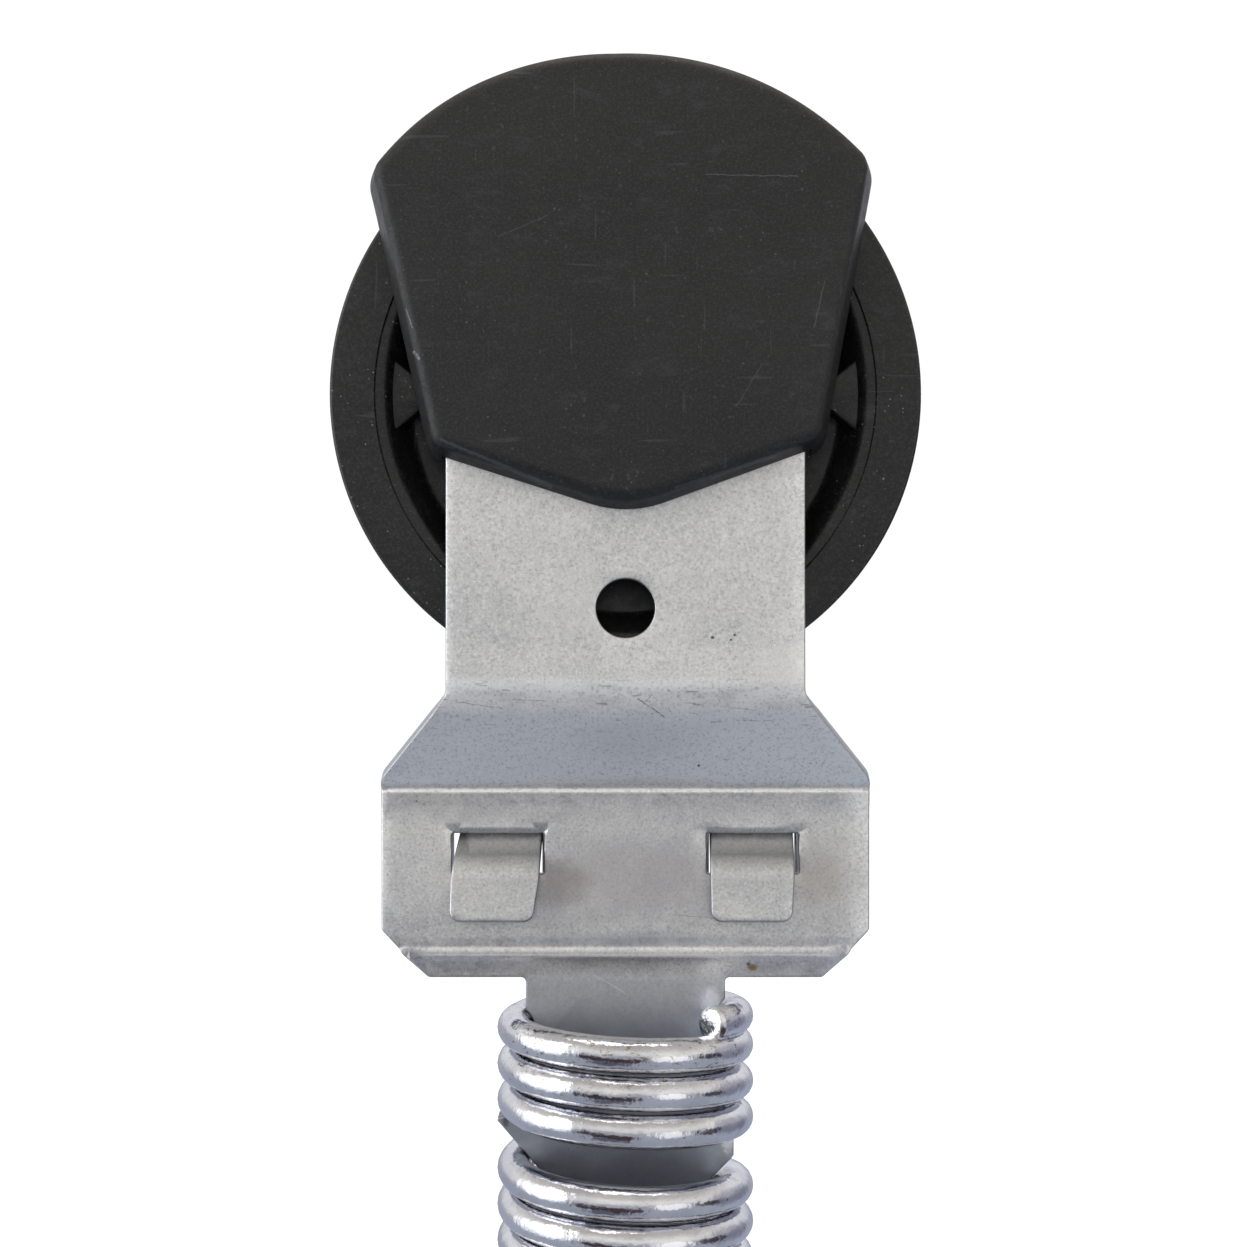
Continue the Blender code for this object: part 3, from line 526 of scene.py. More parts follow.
def zinc_wire():
    """Bright drawn wire: glossy, a little wavy, with darker smears and drawing marks."""
    g = new_material("zinc_wire")
    g.base = g.mix(g.span(g.noise(0.12), 0.35, 0.65), (0.62, 0.62, 0.66), (0.74, 0.74, 0.77))
    smear = g.span(g.noise(0.5, 5, 0.7, (1.0, 1.0, 1.6)), 0.60, 0.70)
    g.paint(g.times(smear, 0.45), (0.42, 0.38, 0.33))
    speck = g.times(g.span(g.cells(0.6), 0.11, 0.06), g.span(g.noise(0.25, 2), 0.54, 0.60))
    g.paint(g.times(speck, 0.8), (0.12, 0.10, 0.07))
    top_coils = g.span(g.axis("Z"), -119.0, -113.0)
    stain = g.times(g.span(g.noise(0.9, 4, 0.75, (0.45, 1.0, 1.3)), 0.575, 0.64), top_coils)
    g.paint(g.times(stain, 0.75), (0.26, 0.20, 0.11))
    return g.finish(g.span(g.noise(0.7, 4, 0.7), 0.35, 0.7, 0.06, 0.18),
                    (g.noise(0.16, 2, 0.5), 0.7, 0.5), (g.noise(0.42, 3, 0.6), 0.28, 0.55),
                    (g.noise(1.6, 3, 0.6, (0.3, 0.3, 3.0)), 0.015, 0.5), Metallic=1.0)


def zinc_steel():
    g = new_material("zinc_steel")
    g.base = g.mix(g.noise(0.4, 4), (0.52, 0.52, 0.52), (0.66, 0.65, 0.62))
    worn = g.span(g.noise(0.8, 4, 0.6), 0.3, 0.7, 0.24, 0.4)
    return g.finish(worn, (g.noise(3.0, 2), 0.01, 0.3), Metallic=1.0)


# Scratches on the hood's front, and painted highlights along its chin, mm, in the same columns as the
# plates' scratches
HOOD_SCRATCHES_AND_EDGE_HIGHLIGHTS = [
    (13.0, 34.2, 28.4, 33.9, 0.12, 0.20, 0.35),
    (-34.9, 5.6, -33.6, 3.9, 0.28, 0.35, 0.7),
    (-36.0, 12.5, -34.8, 9.0, 0.16, 0.30, 0.5),
    # painted highlights: light bands along the chin's two lower edges
    (-30.5, -9.0, -12.0, -16.6, 0.35, 0.16, 0.35),
    (8.0, -17.0, 25.0, -11.4, 0.30, 0.14, 0.30),
    (-21.0, 24.0, -12.5, 27.5, 0.12, 0.12, 0.35),
    (18.0, -4.0, 22.5, 3.5, 0.12, 0.12, 0.35),
    (30.8, 9.0, 32.6, 17.0, 0.14, 0.15, 0.40),
]


def moulded_plastic(name, dark, light, rough, grain, specks, marks=()):
    """Black moulding: fine grain, scuffs, hairline scratches and dust, and the given marks, which on the
    hood include painted edge highlights.
    """
    g = new_material(name)
    g.base = g.mix(g.span(g.noise(0.045), 0.35, 0.65), dark, light)
    g.paint(g.span(g.noise(2.3, 3, 0.85), 0.44, 0.70, 0.0, 0.55), (0.062, 0.060, 0.060))
    scuff = g.span(g.noise(0.16, 7, 0.82, (0.7, 1.0, 1.5)), 0.52, 0.76)
    g.paint(g.times(scuff, 0.60), (0.068, 0.070, 0.078))
    for x0, z0, x1, z1, half, tone, strength in marks:
        g.paint(g.line(x0, z0, x1, z1, half, strength), (tone, tone, tone * 1.05))
    for stretch in ((0.10, 1.0, 1.5), (1.5, 1.0, 0.10), (0.9, 1.0, 0.9)):
        g.paint(g.span(g.noise(0.75, 1, 0.3, stretch), 0.745, 0.775, 0.0, 0.22), (0.12, 0.12, 0.125))
    keep = g.span(g.noise(0.12, 2), 0.45, 0.6)
    for scale, size in ((0.42, 0.10), (0.75, 0.12)):
        speck = g.span(g.cells(scale), size, size * 0.5)
        g.paint(g.times(g.times(speck, keep), specks), (0.55, 0.55, 0.55))
    return g.finish(g.span(g.noise(0.5, 4, 0.6), 0.3, 0.7, rough - 0.05, rough + 0.07),
                    (g.noise(2.4, 3, 0.7), grain, 0.6), Metallic=0.0, IOR=1.5, Specular_IOR_Level=0.4)


def simple_metal(name, low, high, rough):
    g = new_material(name)
    g.base = g.mix(g.noise(0.5, 4), low, high)
    worn = g.span(g.noise(0.9), 0.3, 0.7, rough, rough + 0.1)
    return g.finish(worn, (g.noise(2.5, 2), 0.008, 0.3), Metallic=1.0)


def simple_plastic(name, low, high, rough):
    g = new_material(name)
    g.base = g.mix(g.noise(0.6, 4), low, high)
    worn = g.span(g.noise(0.9), 0.3, 0.7, rough, rough + 0.1)
    return g.finish(worn, (g.noise(2.5), 0.02, 0.4))


# ---------------------------------------------------------------- mesh helpers

def mesh_object(name, bm, material=None, smooth=32):
    bmesh.ops.recalc_face_normals(bm, faces=bm.faces[:])
    mesh = bpy.data.meshes.new(name)
    bm.to_mesh(mesh)
    bm.free()
    if smooth:
        mesh.shade_smooth()
        mesh.set_sharp_from_angle(angle=math.radians(smooth))
    if material:
        mesh.materials.append(material)
    obj = bpy.data.objects.new(name, mesh)
    bpy.context.collection.objects.link(obj)
    return obj


def piece(obj, body, slot, *nodes):
    """Puts a finished piece on its body, in its CAD nodes' place."""
    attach(obj, body)
    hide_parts(*nodes)


def arc(cx, cz, radius, start, end, steps):
    points = []
    for i in range(steps + 1):
        a = math.radians(start + (end - start) * i / steps)
        points.append((cx + radius * math.cos(a), cz + radius * math.sin(a)))
    return points


def fillet(before, corner, after, radius, steps):
    """The corner between two straight lines, replaced by an arc."""
    c = Vector(corner)
    u = (Vector(before) - c).normalized()
    v = (Vector(after) - c).normalized()
    half = u.angle(v) / 2
    if radius <= 0 or half > math.radians(89.5):
        return [tuple(c)]
    centre = c + (u + v).normalized() * (radius / math.sin(half))
    start = c + u * (radius / math.tan(half)) - centre
    end = c + v * (radius / math.tan(half)) - centre
    turn = start.angle(end)
    points = []
    for i in range(steps + 1):
        t = i / steps
        p = (start * math.sin((1 - t) * turn) + end * math.sin(t * turn)) / math.sin(turn)
        points.append(tuple(centre + p))
    return points


def rounded(corners, steps=5, closed=True):
    """A polyline whose corners are (a, b, fillet radius)."""
    points = []
    count = len(corners)
    for i, (a, b, radius) in enumerate(corners):
        if not closed and i in (0, count - 1):
            points.append((a, b))
            continue
        before = corners[i - 1][:2]
        after = corners[(i + 1) % count][:2]
        points += fillet(before, (a, b), after, radius, steps)
    return points


def turned(profile, steps, closed=True):
    """An (r, y) profile spun about Y; an open profile starts and ends on the axis."""
    bm = bmesh.new()
    verts = [bm.verts.new((r, y, 0)) for r, y in profile]
    pairs = list(zip(verts, verts[1:]))
    if closed:
        pairs.append((verts[-1], verts[0]))
    edges = [bm.edges.new(pair) for pair in pairs]
    bmesh.ops.spin(bm, geom=verts + edges, cent=(0, 0, 0), axis=(0, 1, 0),
                   angle=2 * math.pi, steps=steps, use_merge=True)
    bmesh.ops.remove_doubles(bm, verts=bm.verts[:], dist=1e-7)
    return bm


def loft(loops, capped=True):
    """A closed solid through loops of 3-D points with equal counts."""
    bm = bmesh.new()
    rings = [[bm.verts.new(p) for p in loop] for loop in loops]
    for one, two in zip(rings, rings[1:]):
        for k in range(len(one)):
            n = (k + 1) % len(one)
            bm.faces.new((one[k], one[n], two[n], two[k]))
    if capped:
        bm.faces.new(rings[0])
        bm.faces.new(rings[-1][::-1])
    return bm


def prism(outline, low_y, high_y, edge=0.0):
    """An (x, z) outline extruded along Y, with its rims rounded by edge."""
    rings = [(low_y, 0.0), (high_y, 0.0)]
    if edge:
        bend = [(1 - math.sin(math.radians(a)), 1 - math.cos(math.radians(a))) for a in (90, 60, 30, 0)]
        rings = [(low_y + edge * rise, edge * inset) for rise, inset in bend]
        rings += [(high_y - edge * rise, edge * inset) for rise, inset in bend[::-1]]
    loops = []
    for y, inset in rings:
        loops.append([(x, y, z) for x, z in offset_closed(outline, inset)])
    return loft(loops)


def box_corners(low_a, high_a, low_b, high_b):
    return [(low_a, low_b), (high_a, low_b), (high_a, high_b), (low_a, high_b)]


def box_outline(low_a, high_a, low_b, high_b, radius, steps=4):
    corners = box_corners(low_a, high_a, low_b, high_b)
    return rounded([(*corner, radius) for corner in corners], steps)


def absorb(target, part):
    """Adds the shape of one bmesh to another."""
    bmesh.ops.recalc_face_normals(part, faces=part.faces[:])
    mesh = bpy.data.meshes.new("part")
    part.to_mesh(mesh)
    part.free()
    target.from_mesh(mesh)
    bpy.data.meshes.remove(mesh)


def offset_closed(points, distance):
    """A closed outline moved inwards by distance, corner by corner."""
    if not distance:
        return list(points)
    p = np.array(points, float)
    area = 0.5 * np.sum(p[:, 0] * np.roll(p[:, 1], -1) - np.roll(p[:, 0], -1) * p[:, 1])
    sign = 1.0 if area > 0 else -1.0
    ahead = np.roll(p, -1, axis=0) - p
    ahead /= np.linalg.norm(ahead, axis=1)[:, None]
    behind = np.roll(ahead, 1, axis=0)
    normal = np.stack([-(ahead[:, 1] + behind[:, 1]), ahead[:, 0] + behind[:, 0]], axis=1)
    dot = np.clip(np.sum(ahead * behind, axis=1), -0.6, 1.0)
    normal /= np.linalg.norm(normal, axis=1)[:, None]
    reach = distance / np.sqrt((1 + dot) / 2)
    return [tuple(q) for q in p + sign * normal * reach[:, None]]


def boolean(target, operation, bm):
    tool = mesh_object("tool", bm)
    modifier = target.modifiers.new("shape", "BOOLEAN")
    modifier.operation = operation
    modifier.solver = "EXACT"
    modifier.object = tool
    bpy.context.view_layer.update()
    graph = bpy.context.evaluated_depsgraph_get()
    target_mesh = bpy.data.meshes.new_from_object(target.evaluated_get(graph))
    target.modifiers.clear()
    target.data = target_mesh
    bpy.data.objects.remove(tool, do_unlink=True)


def resmooth(obj, angle=32):
    obj.data.shade_smooth()
    obj.data.set_sharp_from_angle(angle=math.radians(angle))


# ---------------------------------------------------------------- bent sheet

class Spine:
    """A bent sheet's centre line in the YZ plane, measured along its length."""

    def __init__(self, corners, radii, steps=8):
        points = [Vector(corners[0])]
        for before, corner, after, radius in zip(corners, corners[1:], corners[2:], radii):
            points += [Vector(p) for p in fillet(before, corner, after, radius, steps)]
        points.append(Vector(corners[-1]))
        self.points = points
        self.lengths = [0.0]
        for a, b in zip(points, points[1:]):
            self.lengths.append(self.lengths[-1] + (b - a).length)
        self.normals = []
        for i in range(len(points)):
            one = (points[min(i + 1, len(points) - 1)] - points[min(i, len(points) - 2)]).normalized()
            two = (points[max(i, 1)] - points[max(i - 1, 0)]).normalized()
            along = (one + two).normalized()
            self.normals.append(Vector((along.y, -along.x)))

    def at(self, s, depth):
        """The (y, z) point at length s, depth off the centre line."""
        s = min(max(s, 0.0), self.lengths[-1])
        i = max(k for k in range(len(self.lengths) - 1) if self.lengths[k] <= s)
        t = (s - self.lengths[i]) / (self.lengths[i + 1] - self.lengths[i])
        point = self.points[i].lerp(self.points[i + 1], t)
        normal = self.normals[i].lerp(self.normals[i + 1], t).normalized()
        return point + normal * depth

    def length_at(self, z):
        """The length at which a centre line that only goes down reaches z."""
        for i in range(len(self.points) - 1):
            high, low = self.points[i].y, self.points[i + 1].y
            if low <= z <= high:
                return self.lengths[i] + (high - z) / (high - low) * (self.lengths[i + 1] - self.lengths[i])
        return 0.0 if z > self.points[0].y else self.lengths[-1]


def split_at_rows(outline, rows):
    """The outline with a point wherever it crosses a row."""
    points = []
    for (x0, s0), (x1, s1) in zip(outline, outline[1:] + outline[:1]):
        points.append((x0, s0))
        cuts = [(r - s0) / (s1 - s0) for r in rows if (s0 - r) * (s1 - r) < 0]
        for t in sorted(cuts):
            if 1e-3 < t < 1 - 1e-3:
                points.append((x0 + (x1 - x0) * t, s0 + (s1 - s0) * t))
    return points


def inside(x, s, loop):
    result = False
    for (x0, s0), (x1, s1) in zip(loop, loop[1:] + loop[:1]):
        if (s0 > s) != (s1 > s) and x < (x1 - x0) * (s - s0) / (s1 - s0) + x0:
            result = not result
    return result


def flat_face(loops, rows, step):
    """Triangulates the area inside the first loop and outside the others."""
    points = [Vector(p) for loop in loops for p in loop]
    edges = []
    start = 0
    for loop in loops:
        n = len(loop)
        edges += [(start + k, start + (k + 1) % n) for k in range(n)]
        start += n
    border = start
    low_x = min(p[0] for p in loops[0])
    high_x = max(p[0] for p in loops[0])
    margin = 0.35 * step
    for row in rows:
        x = low_x + 0.5 * step
        while x < high_x:
            clear = inside(x, row, loops[0]) and not any(inside(x, row, h) for h in loops[1:])
            if clear and min((Vector((x, row)) - p).length for p in points[:border]) > margin:
                points.append(Vector((x, row)))
            x += step
    made = delaunay_2d_cdt(points, edges, [], 1, 1e-7)
    verts, faces, origins = made[0], made[2], made[3]
    kept = []
    for face in faces:
        cx = sum(verts[i].x for i in face) / len(face)
        cs = sum(verts[i].y for i in face) / len(face)
        if inside(cx, cs, loops[0]) and not any(inside(cx, cs, h) for h in loops[1:]):
            kept.append(list(face))
    index_of = {}
    for i, source in enumerate(origins):
        for old in source:
            index_of[old] = i
    return verts, kept, [index_of[i] for i in range(border)]


def sheet_solid(outlines, spine, edges, thickness=SHEET, step=3 * MM, extra_rows=(), relief=None):
    """A bent sheet from (x, length) outlines: the border first, then holes, each with its edge radius.

    relief(x, length) raises the outer face.
    """
    rows = sorted(set(round(s, 7) for s in spine.lengths[1:-1]) | set(extra_rows))
    loops = [split_at_rows(outline, rows) for outline in outlines]
    insets = []
    for i, (loop, edge) in enumerate(zip(loops, edges)):
        insets.append(offset_closed(loop, edge if i == 0 else -edge))
    verts, faces, border = flat_face(insets, rows, step)
    bm = bmesh.new()
    half = thickness / 2

    def lift(x, s, depth):
        if relief and depth > 0:
            depth += relief(x, s) * depth / half
        y, z = spine.at(s, depth)
        return (x, y, z)

    # the rim value marks the rounded border, which the material darkens as painted shade
    rim = bm.verts.layers.float.new("rim")
    front = [bm.verts.new(lift(v.x, v.y, half)) for v in verts]
    back = [bm.verts.new(lift(v.x, v.y, -half)) for v in verts]
    for face in faces:
        bm.faces.new([front[i] for i in face])
        bm.faces.new([back[i] for i in reversed(face)])
    start = 0
    for i, (loop, edge) in enumerate(zip(loops, edges)):
        n = len(loop)
        sign = 1 if i == 0 else -1
        rings = [[front[border[start + k]] for k in range(n)]]
        for angle, side in ((60, 1), (30, 1), (0, 1), (0, -1), (30, -1), (60, -1)):
            inset = edge * (1 - math.cos(math.radians(angle)))
            depth = side * (half - edge * (1 - math.sin(math.radians(angle))))
            ring = offset_closed(loop, sign * inset)
            rings.append([bm.verts.new(lift(x, s, depth)) for x, s in ring])
            for vert in rings[-1]:
                vert[rim] = 1.0 if angle < 60 else 0.5
        rings.append([back[border[start + k]] for k in range(n)])
        for one, two in zip(rings, rings[1:]):
            for k in range(n):
                bm.faces.new((one[k], one[(k + 1) % n], two[(k + 1) % n], two[k]))
        start += n
    return bm


# ---------------------------------------------------------------- spring path

def wire_height(turn):
    """The wire's centre height: closed coils, with a longer step over each tooth."""
    def upper(t):
        if t < 0:
            return FIRST_LEFT_Z - TAIL_PITCH * t
        s = min(max((t - 2.5) / 0.5, 0), 1)
        return FIRST_LEFT_Z - PITCH * t - TOOTH_STEP * s * s * (3 - 2 * s)
    middle = TURNS / 2
    if turn <= middle:
        return upper(turn)
    return 2 * upper(middle) - upper(TURNS - turn)


def crossings(side, first, last):
    """Heights where the wire passes one side of the tongue: -1 is left, +1 is right."""
    start = 0 if side < 0 else 0.5
    turns = [start + i for i in range(-1, int(TURNS) + 3)]
    return [wire_height(turn) for turn in turns if first <= turn <= last]


def wire_point(turn):
    angle = 2 * math.pi * turn
    return Vector((-SPRING_R * math.cos(angle), -SPRING_R * math.sin(angle), wire_height(turn)))


def make_spring(material):
    sides = 20
    steps_per_turn = 72
    first, last = -TAIL_TURNS, TURNS + TAIL_TURNS
    count = round((last - first) * steps_per_turn)
    # the wire's rings: step along the path, share of the radius, push past the end
    rings = [(step, 1.0, 0.0) for step in range(count + 1)]
    for share, push in ((0.88, 0.35 * MM), (0.65, 0.5 * MM)):
        rings = [(0, share, -push)] + rings + [(count, share, push)]
    loops = []
    turns = []
    for step, share, push in rings:
        turn = first + (last - first) * step / count
        centre = wire_point(turn)
        outward = Vector((centre.x, centre.y, 0)).normalized()
        along = (wire_point(turn + 0.001) - wire_point(turn - 0.001)).normalized()
        up = outward.cross(along).normalized()
        centre += along * push
        angles = [2 * math.pi * i / sides for i in range(sides)]
        loops.append([centre + WIRE_R * share * (math.cos(a) * outward + math.sin(a) * up) for a in angles])
        turns += [turn] * sides
    spring = mesh_object("spring", loft(loops), material, smooth=40)
    start = (0, 0, wire_height(HELD_TURNS))
    end = (0, 0, wire_height(TURNS - HELD_TURNS))
    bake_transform(spring)
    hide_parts("extension_spring")


# ---------------------------------------------------------------- plates

def tongue_edge(side):
    """The tongue's edge from the shoulder down: wire reliefs, then the tooth."""
    x = side * TONGUE_HALF
    radius = WIRE_R + 0.55 * MM
    reach = SPRING_R - TONGUE_HALF
    half = math.sqrt(radius * radius - reach * reach)
    last = 2 if side < 0 else 2.5
    points = [(x, SHOULDER_Z - 0.9 * MM)]
    spread = math.degrees(math.asin(half / radius))

    def relieve(z, end, steps):
        for i in range(steps + 1):
            a = math.radians(spread + (end - spread) * i / steps)
            points.append((side * (SPRING_R - radius * math.cos(a)), z + radius * math.sin(a)))

    for z in crossings(side, -0.5 if side > 0 else 0, last - 0.5):
        relieve(z, -spread, 6)
    relieve(wire_height(last), -48, 4)
    top = wire_height(last) - WIRE_R - GAP
    if side < 0:
        tip = [(-22.0 * MM, top - 0.1 * MM), (-22.1 * MM, top - 0.7 * MM),
               (-12.8 * MM, TONGUE_END_Z + 1.4 * MM), (-11.6 * MM, TONGUE_END_Z)]
    else:
        tip = [(18.4 * MM, top - 0.1 * MM), (18.7 * MM, top - 0.5 * MM), (18.7 * MM, top - 3.6 * MM),
               (18.2 * MM, top - 4.2 * MM), (13.6 * MM, TONGUE_END_Z + 1.0 * MM), (12.4 * MM, TONGUE_END_Z)]
    return points + tip


def plate_outline():
    """The whole border in (x, z), clockwise from the arm's left side."""
    r = 1.2 * MM
    corners = [(ARM_HALF, UPPER_BEND_Z, 3 * MM), (BODY_HALF, FLARE_Z, 3 * MM), (BODY_HALF, CHAMFER_Z, r),
               (SHOULDER_HALF, SHOULDER_Z, r), (TONGUE_HALF, SHOULDER_Z, 0.8 * MM)]
    path = [(ARM_HALF, 0, 0)] + corners + [(TONGUE_HALF, SHOULDER_Z - 3 * MM, 0)]
    right = rounded(path, 4, closed=False)[1:-1]
    left = [(-x, z) for x, z in right]
    top = arc(0, 0, ARM_HALF, 180, 0, 48)
    return top + right + tongue_edge(1) + tongue_edge(-1)[::-1] + left[::-1]


def circle(x, z, radius, steps=48):
    return arc(x, z, radius, 0, 360 - 360 / steps, steps - 1)


def plate_spine(side):
    joined = side * JOINED_OFFSET
    corners = [(side * ARM_OFFSET, ARM_HALF + 1 * MM), (side * ARM_OFFSET, BEND_TOP_Z),
               (joined, BEND_FOOT_Z), (joined, SHIFT_TOP_Z),
               (joined + TONGUE_SHIFT, SHIFT_BOTTOM_Z), (joined + TONGUE_SHIFT, TONGUE_END_Z - 1 * MM)]
    return Spine(corners, [9 * MM, 1.2 * MM, 1.4 * MM, 9 * MM])


def on_spine(outline, spine):
    return [(x, spine.length_at(z)) for x, z in outline]


def make_plate(side, windows):
    spine = plate_spine(side)
    outlines = [plate_outline(), circle(0, 0, PIN_HOLE_R), circle(0, HOLE_Z, HOLE_R)] + windows
    edges = [RIM_EDGE, 0.2 * MM, 0.3 * MM] + [0.3 * MM] * len(windows)
    bend = spine.length_at(UPPER_BEND_Z)
    upper = spine.length_at(BEND_FOOT_Z)
    lower = spine.length_at(SHIFT_TOP_Z)
    knots = []
    for start, ridge in ((bend, ARM_SWELL), (upper, UPPER_RIDGE), (lower, LOWER_RIDGE)):
        knots += [(start + s * MM, d * MM) for s, d in ridge]
    at = np.array([k[0] for k in knots])
    rise = np.array([k[1] for k in knots])
    rows = []
    # the mesh's rows, closer together across the ridges
    for first, last, count in (
            (ARM_HALF, bend - 8.5 * MM, 18), (bend - 8 * MM, bend - 2 * MM, 5),
            (bend + 5 * MM, upper - 3 * MM, 4), (upper - 2.6 * MM, upper + 2.4 * MM, 16),
            (upper + 3.4 * MM, lower - 3.6 * MM, 9), (lower - 2.8 * MM, lower + 2 * MM, 16)):
        rows += [round(first + (last - first) * i / count, 7) for i in range(count + 1)]
    slot_top = spine.length_at(SLOT_TOP_Z)
    rolled = spine.length_at(ROLLED_SLOT_TOP_Z) - slot_top
    rows += [round(slot_top + rolled * i / 5, 7) for i in range(-1, 5)]

    def relief(x, s):
        height = float(np.interp(s, at, rise))
        side_roll = max(abs(x) - (28.0 * MM if s < bend else 37.5 * MM), 0) / (4 * MM)
        if s < bend or upper < s < lower:
            height -= EDGE_ROLL * side_roll * side_roll * (1.0 if s < bend else 0.4)
        beside = max(SLOT_INNER_X - abs(x), abs(x) - SLOT_OUTER_X, 0)
        if beside < 0.5 * MM and slot_top < s < slot_top + 3 * rolled:
            roll = min((s - slot_top) / rolled, 1) * (1 - beside / (0.5 * MM))
            height -= EDGE_ROLL * roll * roll
        return height

    return sheet_solid([on_spine(o, spine) for o in outlines], spine, edges, extra_rows=rows,
                       relief=relief if side < 0 else None)


def make_tab(side):
    """A tab of the rear plate: it ramps forward through the slot, then hangs down in front."""
    front = -JOINED_OFFSET - SHEET - GAP
    corners = [(JOINED_OFFSET, SLOT_TOP_Z + 1 * MM), (JOINED_OFFSET, SLOT_TOP_Z - 0.6 * MM),
               (front + 0.6 * MM, SLOT_TOP_Z - TAB_RAMP), (front, TAB_TIP_Z)]
    spine = Spine(corners, [1.3 * MM, 7 * MM], 9)
    end = spine.lengths[-1]
    root = spine.length_at(SLOT_TOP_Z - 1 * MM)
    fold = spine.length_at(SLOT_TOP_Z - TAB_RAMP - 2 * MM)
    (root_low, root_high), (fold_low, fold_high), (tip_low, tip_high) = TAB_EDGES[side]
    corners = [(root_low * MM, 0, 0), (root_high * MM, 0, 0), (root_high * MM, root, 4 * MM),
               (fold_high * MM, fold, 8 * MM), (tip_high * MM, end, 1.9 * MM),
               (tip_low * MM, end, 1.9 * MM), (fold_low * MM, fold, 8 * MM), (root_low * MM, root, 4 * MM)]
    outline = rounded(corners, 6)
    rows = [end - i * 1.0 * MM for i in range(1, 9)]
    return sheet_solid([outline], spine, [0.4 * MM], SHEET - 0.04 * MM, 2 * MM, rows)


def make_plates(material):
    front_windows = []
    rear_windows = []
    for side in (-1, 1):
        low, high = sorted((side * SLOT_INNER_X, side * SLOT_OUTER_X))
        front_windows.append(box_outline(low, high, SLOT_BOTTOM_Z, ROLLED_SLOT_TOP_Z, 0.4 * MM))
        low, high = REAR_WINDOW_X[side]
        rear_windows.append(box_outline(low * MM, high * MM, WINDOW_BOTTOM_Z, SLOT_TOP_Z, 0.9 * MM))
    front = mesh_object("front_plate_sheet", make_plate(-1, front_windows), material)
    rear = make_plate(1, rear_windows)
    for side in (-1, 1):
        absorb(rear, make_tab(side))
    rear = mesh_object("rear_plate_sheet", rear, material)
    painted_ramp_shade = rear.data.attributes.new("painted_ramp_shade", "FLOAT", "POINT")     # painted shade on the tabs' ramps, where they lie back in the slots
    values = []
    for vertex in rear.data.vertices:
        forward = -vertex.co.y / MM
        depth = min(max((5.25 - forward) / 2.2, 0), 1) if forward > 0.1 else 0
        values.append(depth if SLOT_INNER_X < abs(vertex.co.x) < SLOT_OUTER_X else 0)
    painted_ramp_shade.data.foreach_set("value", values)
    piece(front, "bracket", "galvanised_steel", "front_plate")
    piece(rear, "bracket", "galvanised_steel", "rear_plate")


# ---------------------------------------------------------------- lower anchor

def anchor_outline():
    """The bracket's tongue turned upside down, carried on to a rounded eye."""
    mirror = wire_height(0) + wire_height(TURNS)
    flip = [(-x, mirror - z) for x, z in tongue_edge(1)]
    other = [(-x, mirror - z) for x, z in tongue_edge(-1)]
    shoulder = EYE_Z + EYE_BELOW_SHOULDER
    half = ANCHOR_SHOULDER_HALF
    drop = 4 * MM
    eye = arc(0, EYE_Z, EYE_OUTER_R, 160, 380, 66)
    corners = [(-TONGUE_HALF, shoulder + 3 * MM, 0), (-TONGUE_HALF, shoulder, 0.8 * MM),
               (-half, shoulder, 1 * MM), (-half, shoulder - drop, 1.5 * MM), (*eye[0], 0)]
    left = rounded(corners, 4, closed=False)
    right = [(-x, z) for x, z in left]
    return flip[::-1] + left[1:-1] + eye + right[1:-1][::-1] + other


def make_anchor(steel, zinc):
    top = wire_height(0) + wire_height(TURNS) - TONGUE_END_Z
    for name, side in (("anchor_plate_front", -1), ("anchor_plate_rear", 1)):
        y = side * JOINED_OFFSET
        spine = Spine([(y, top + 1 * MM), (y, EYE_Z), (y, EYE_Z - EYE_OUTER_R - 1 * MM)], [0])
        holes = [circle(0, EYE_Z, EYE_R)]
        holes += [circle(x, EYE_Z + RIVET_HEIGHT, RIVET_HOLE_R, 32) for x in (-RIVET_X, RIVET_X)]
        outlines = [on_spine(o, spine) for o in [anchor_outline()] + holes]
        edges = [RIM_EDGE] + [0.2 * MM] * len(holes)
        plate = mesh_object(name + "_sheet", sheet_solid(outlines, spine, edges), steel)
        piece(plate, "lower_anchor", "galvanised_steel", name)
    for name, x in (("anchor_rivet_left", -RIVET_X), ("anchor_rivet_right", RIVET_X)):
        rivet = mesh_object(name + "_fine", turned(rivet_profile(), 48, closed=False), zinc)
        rivet.location = (x, 0, EYE_Z + RIVET_HEIGHT)
        piece(rivet, "lower_anchor", "zinc_steel", name)
    lip = JOINED_OFFSET + SHEET / 2 + GAP
    bore, body, flange, thick = 5.2 * MM, EYE_R - GAP, 9 * MM, 1.1 * MM
    corners = [(bore, -lip - thick, 0.5 * MM), (flange, -lip - thick, 0.5 * MM), (flange, -lip, 0.2 * MM),
               (body, -lip, 0.1 * MM), (body, lip, 0.1 * MM), (flange, lip, 0.2 * MM),
               (flange, lip + thick, 0.5 * MM), (bore, lip + thick, 0.5 * MM)]
    bush = mesh_object("anchor_bush_fine", turned(rounded(corners, 4), 72), zinc)
    bush.location = (0, 0, EYE_Z)
    piece(bush, "lower_anchor", "zinc_steel", "anchor_bush")


def rivet_profile():
    face = JOINED_OFFSET + SHEET / 2 + GAP
    shank, head, rise = 2.6 * MM, 4.6 * MM, 1.8 * MM
    dome_r = (head * head + rise * rise) / (2 * rise)
    start = math.asin(head / dome_r)
    dome = []
    for i in range(11):
        a = start * (1 - i / 10)
        dome.append((dome_r * math.sin(a), face + rise - dome_r * (1 - math.cos(a))))
    return [(r, -y) for r, y in dome[::-1]] + [(shank, -face), (shank, face)] + dome


# ---------------------------------------------------------------- wheel

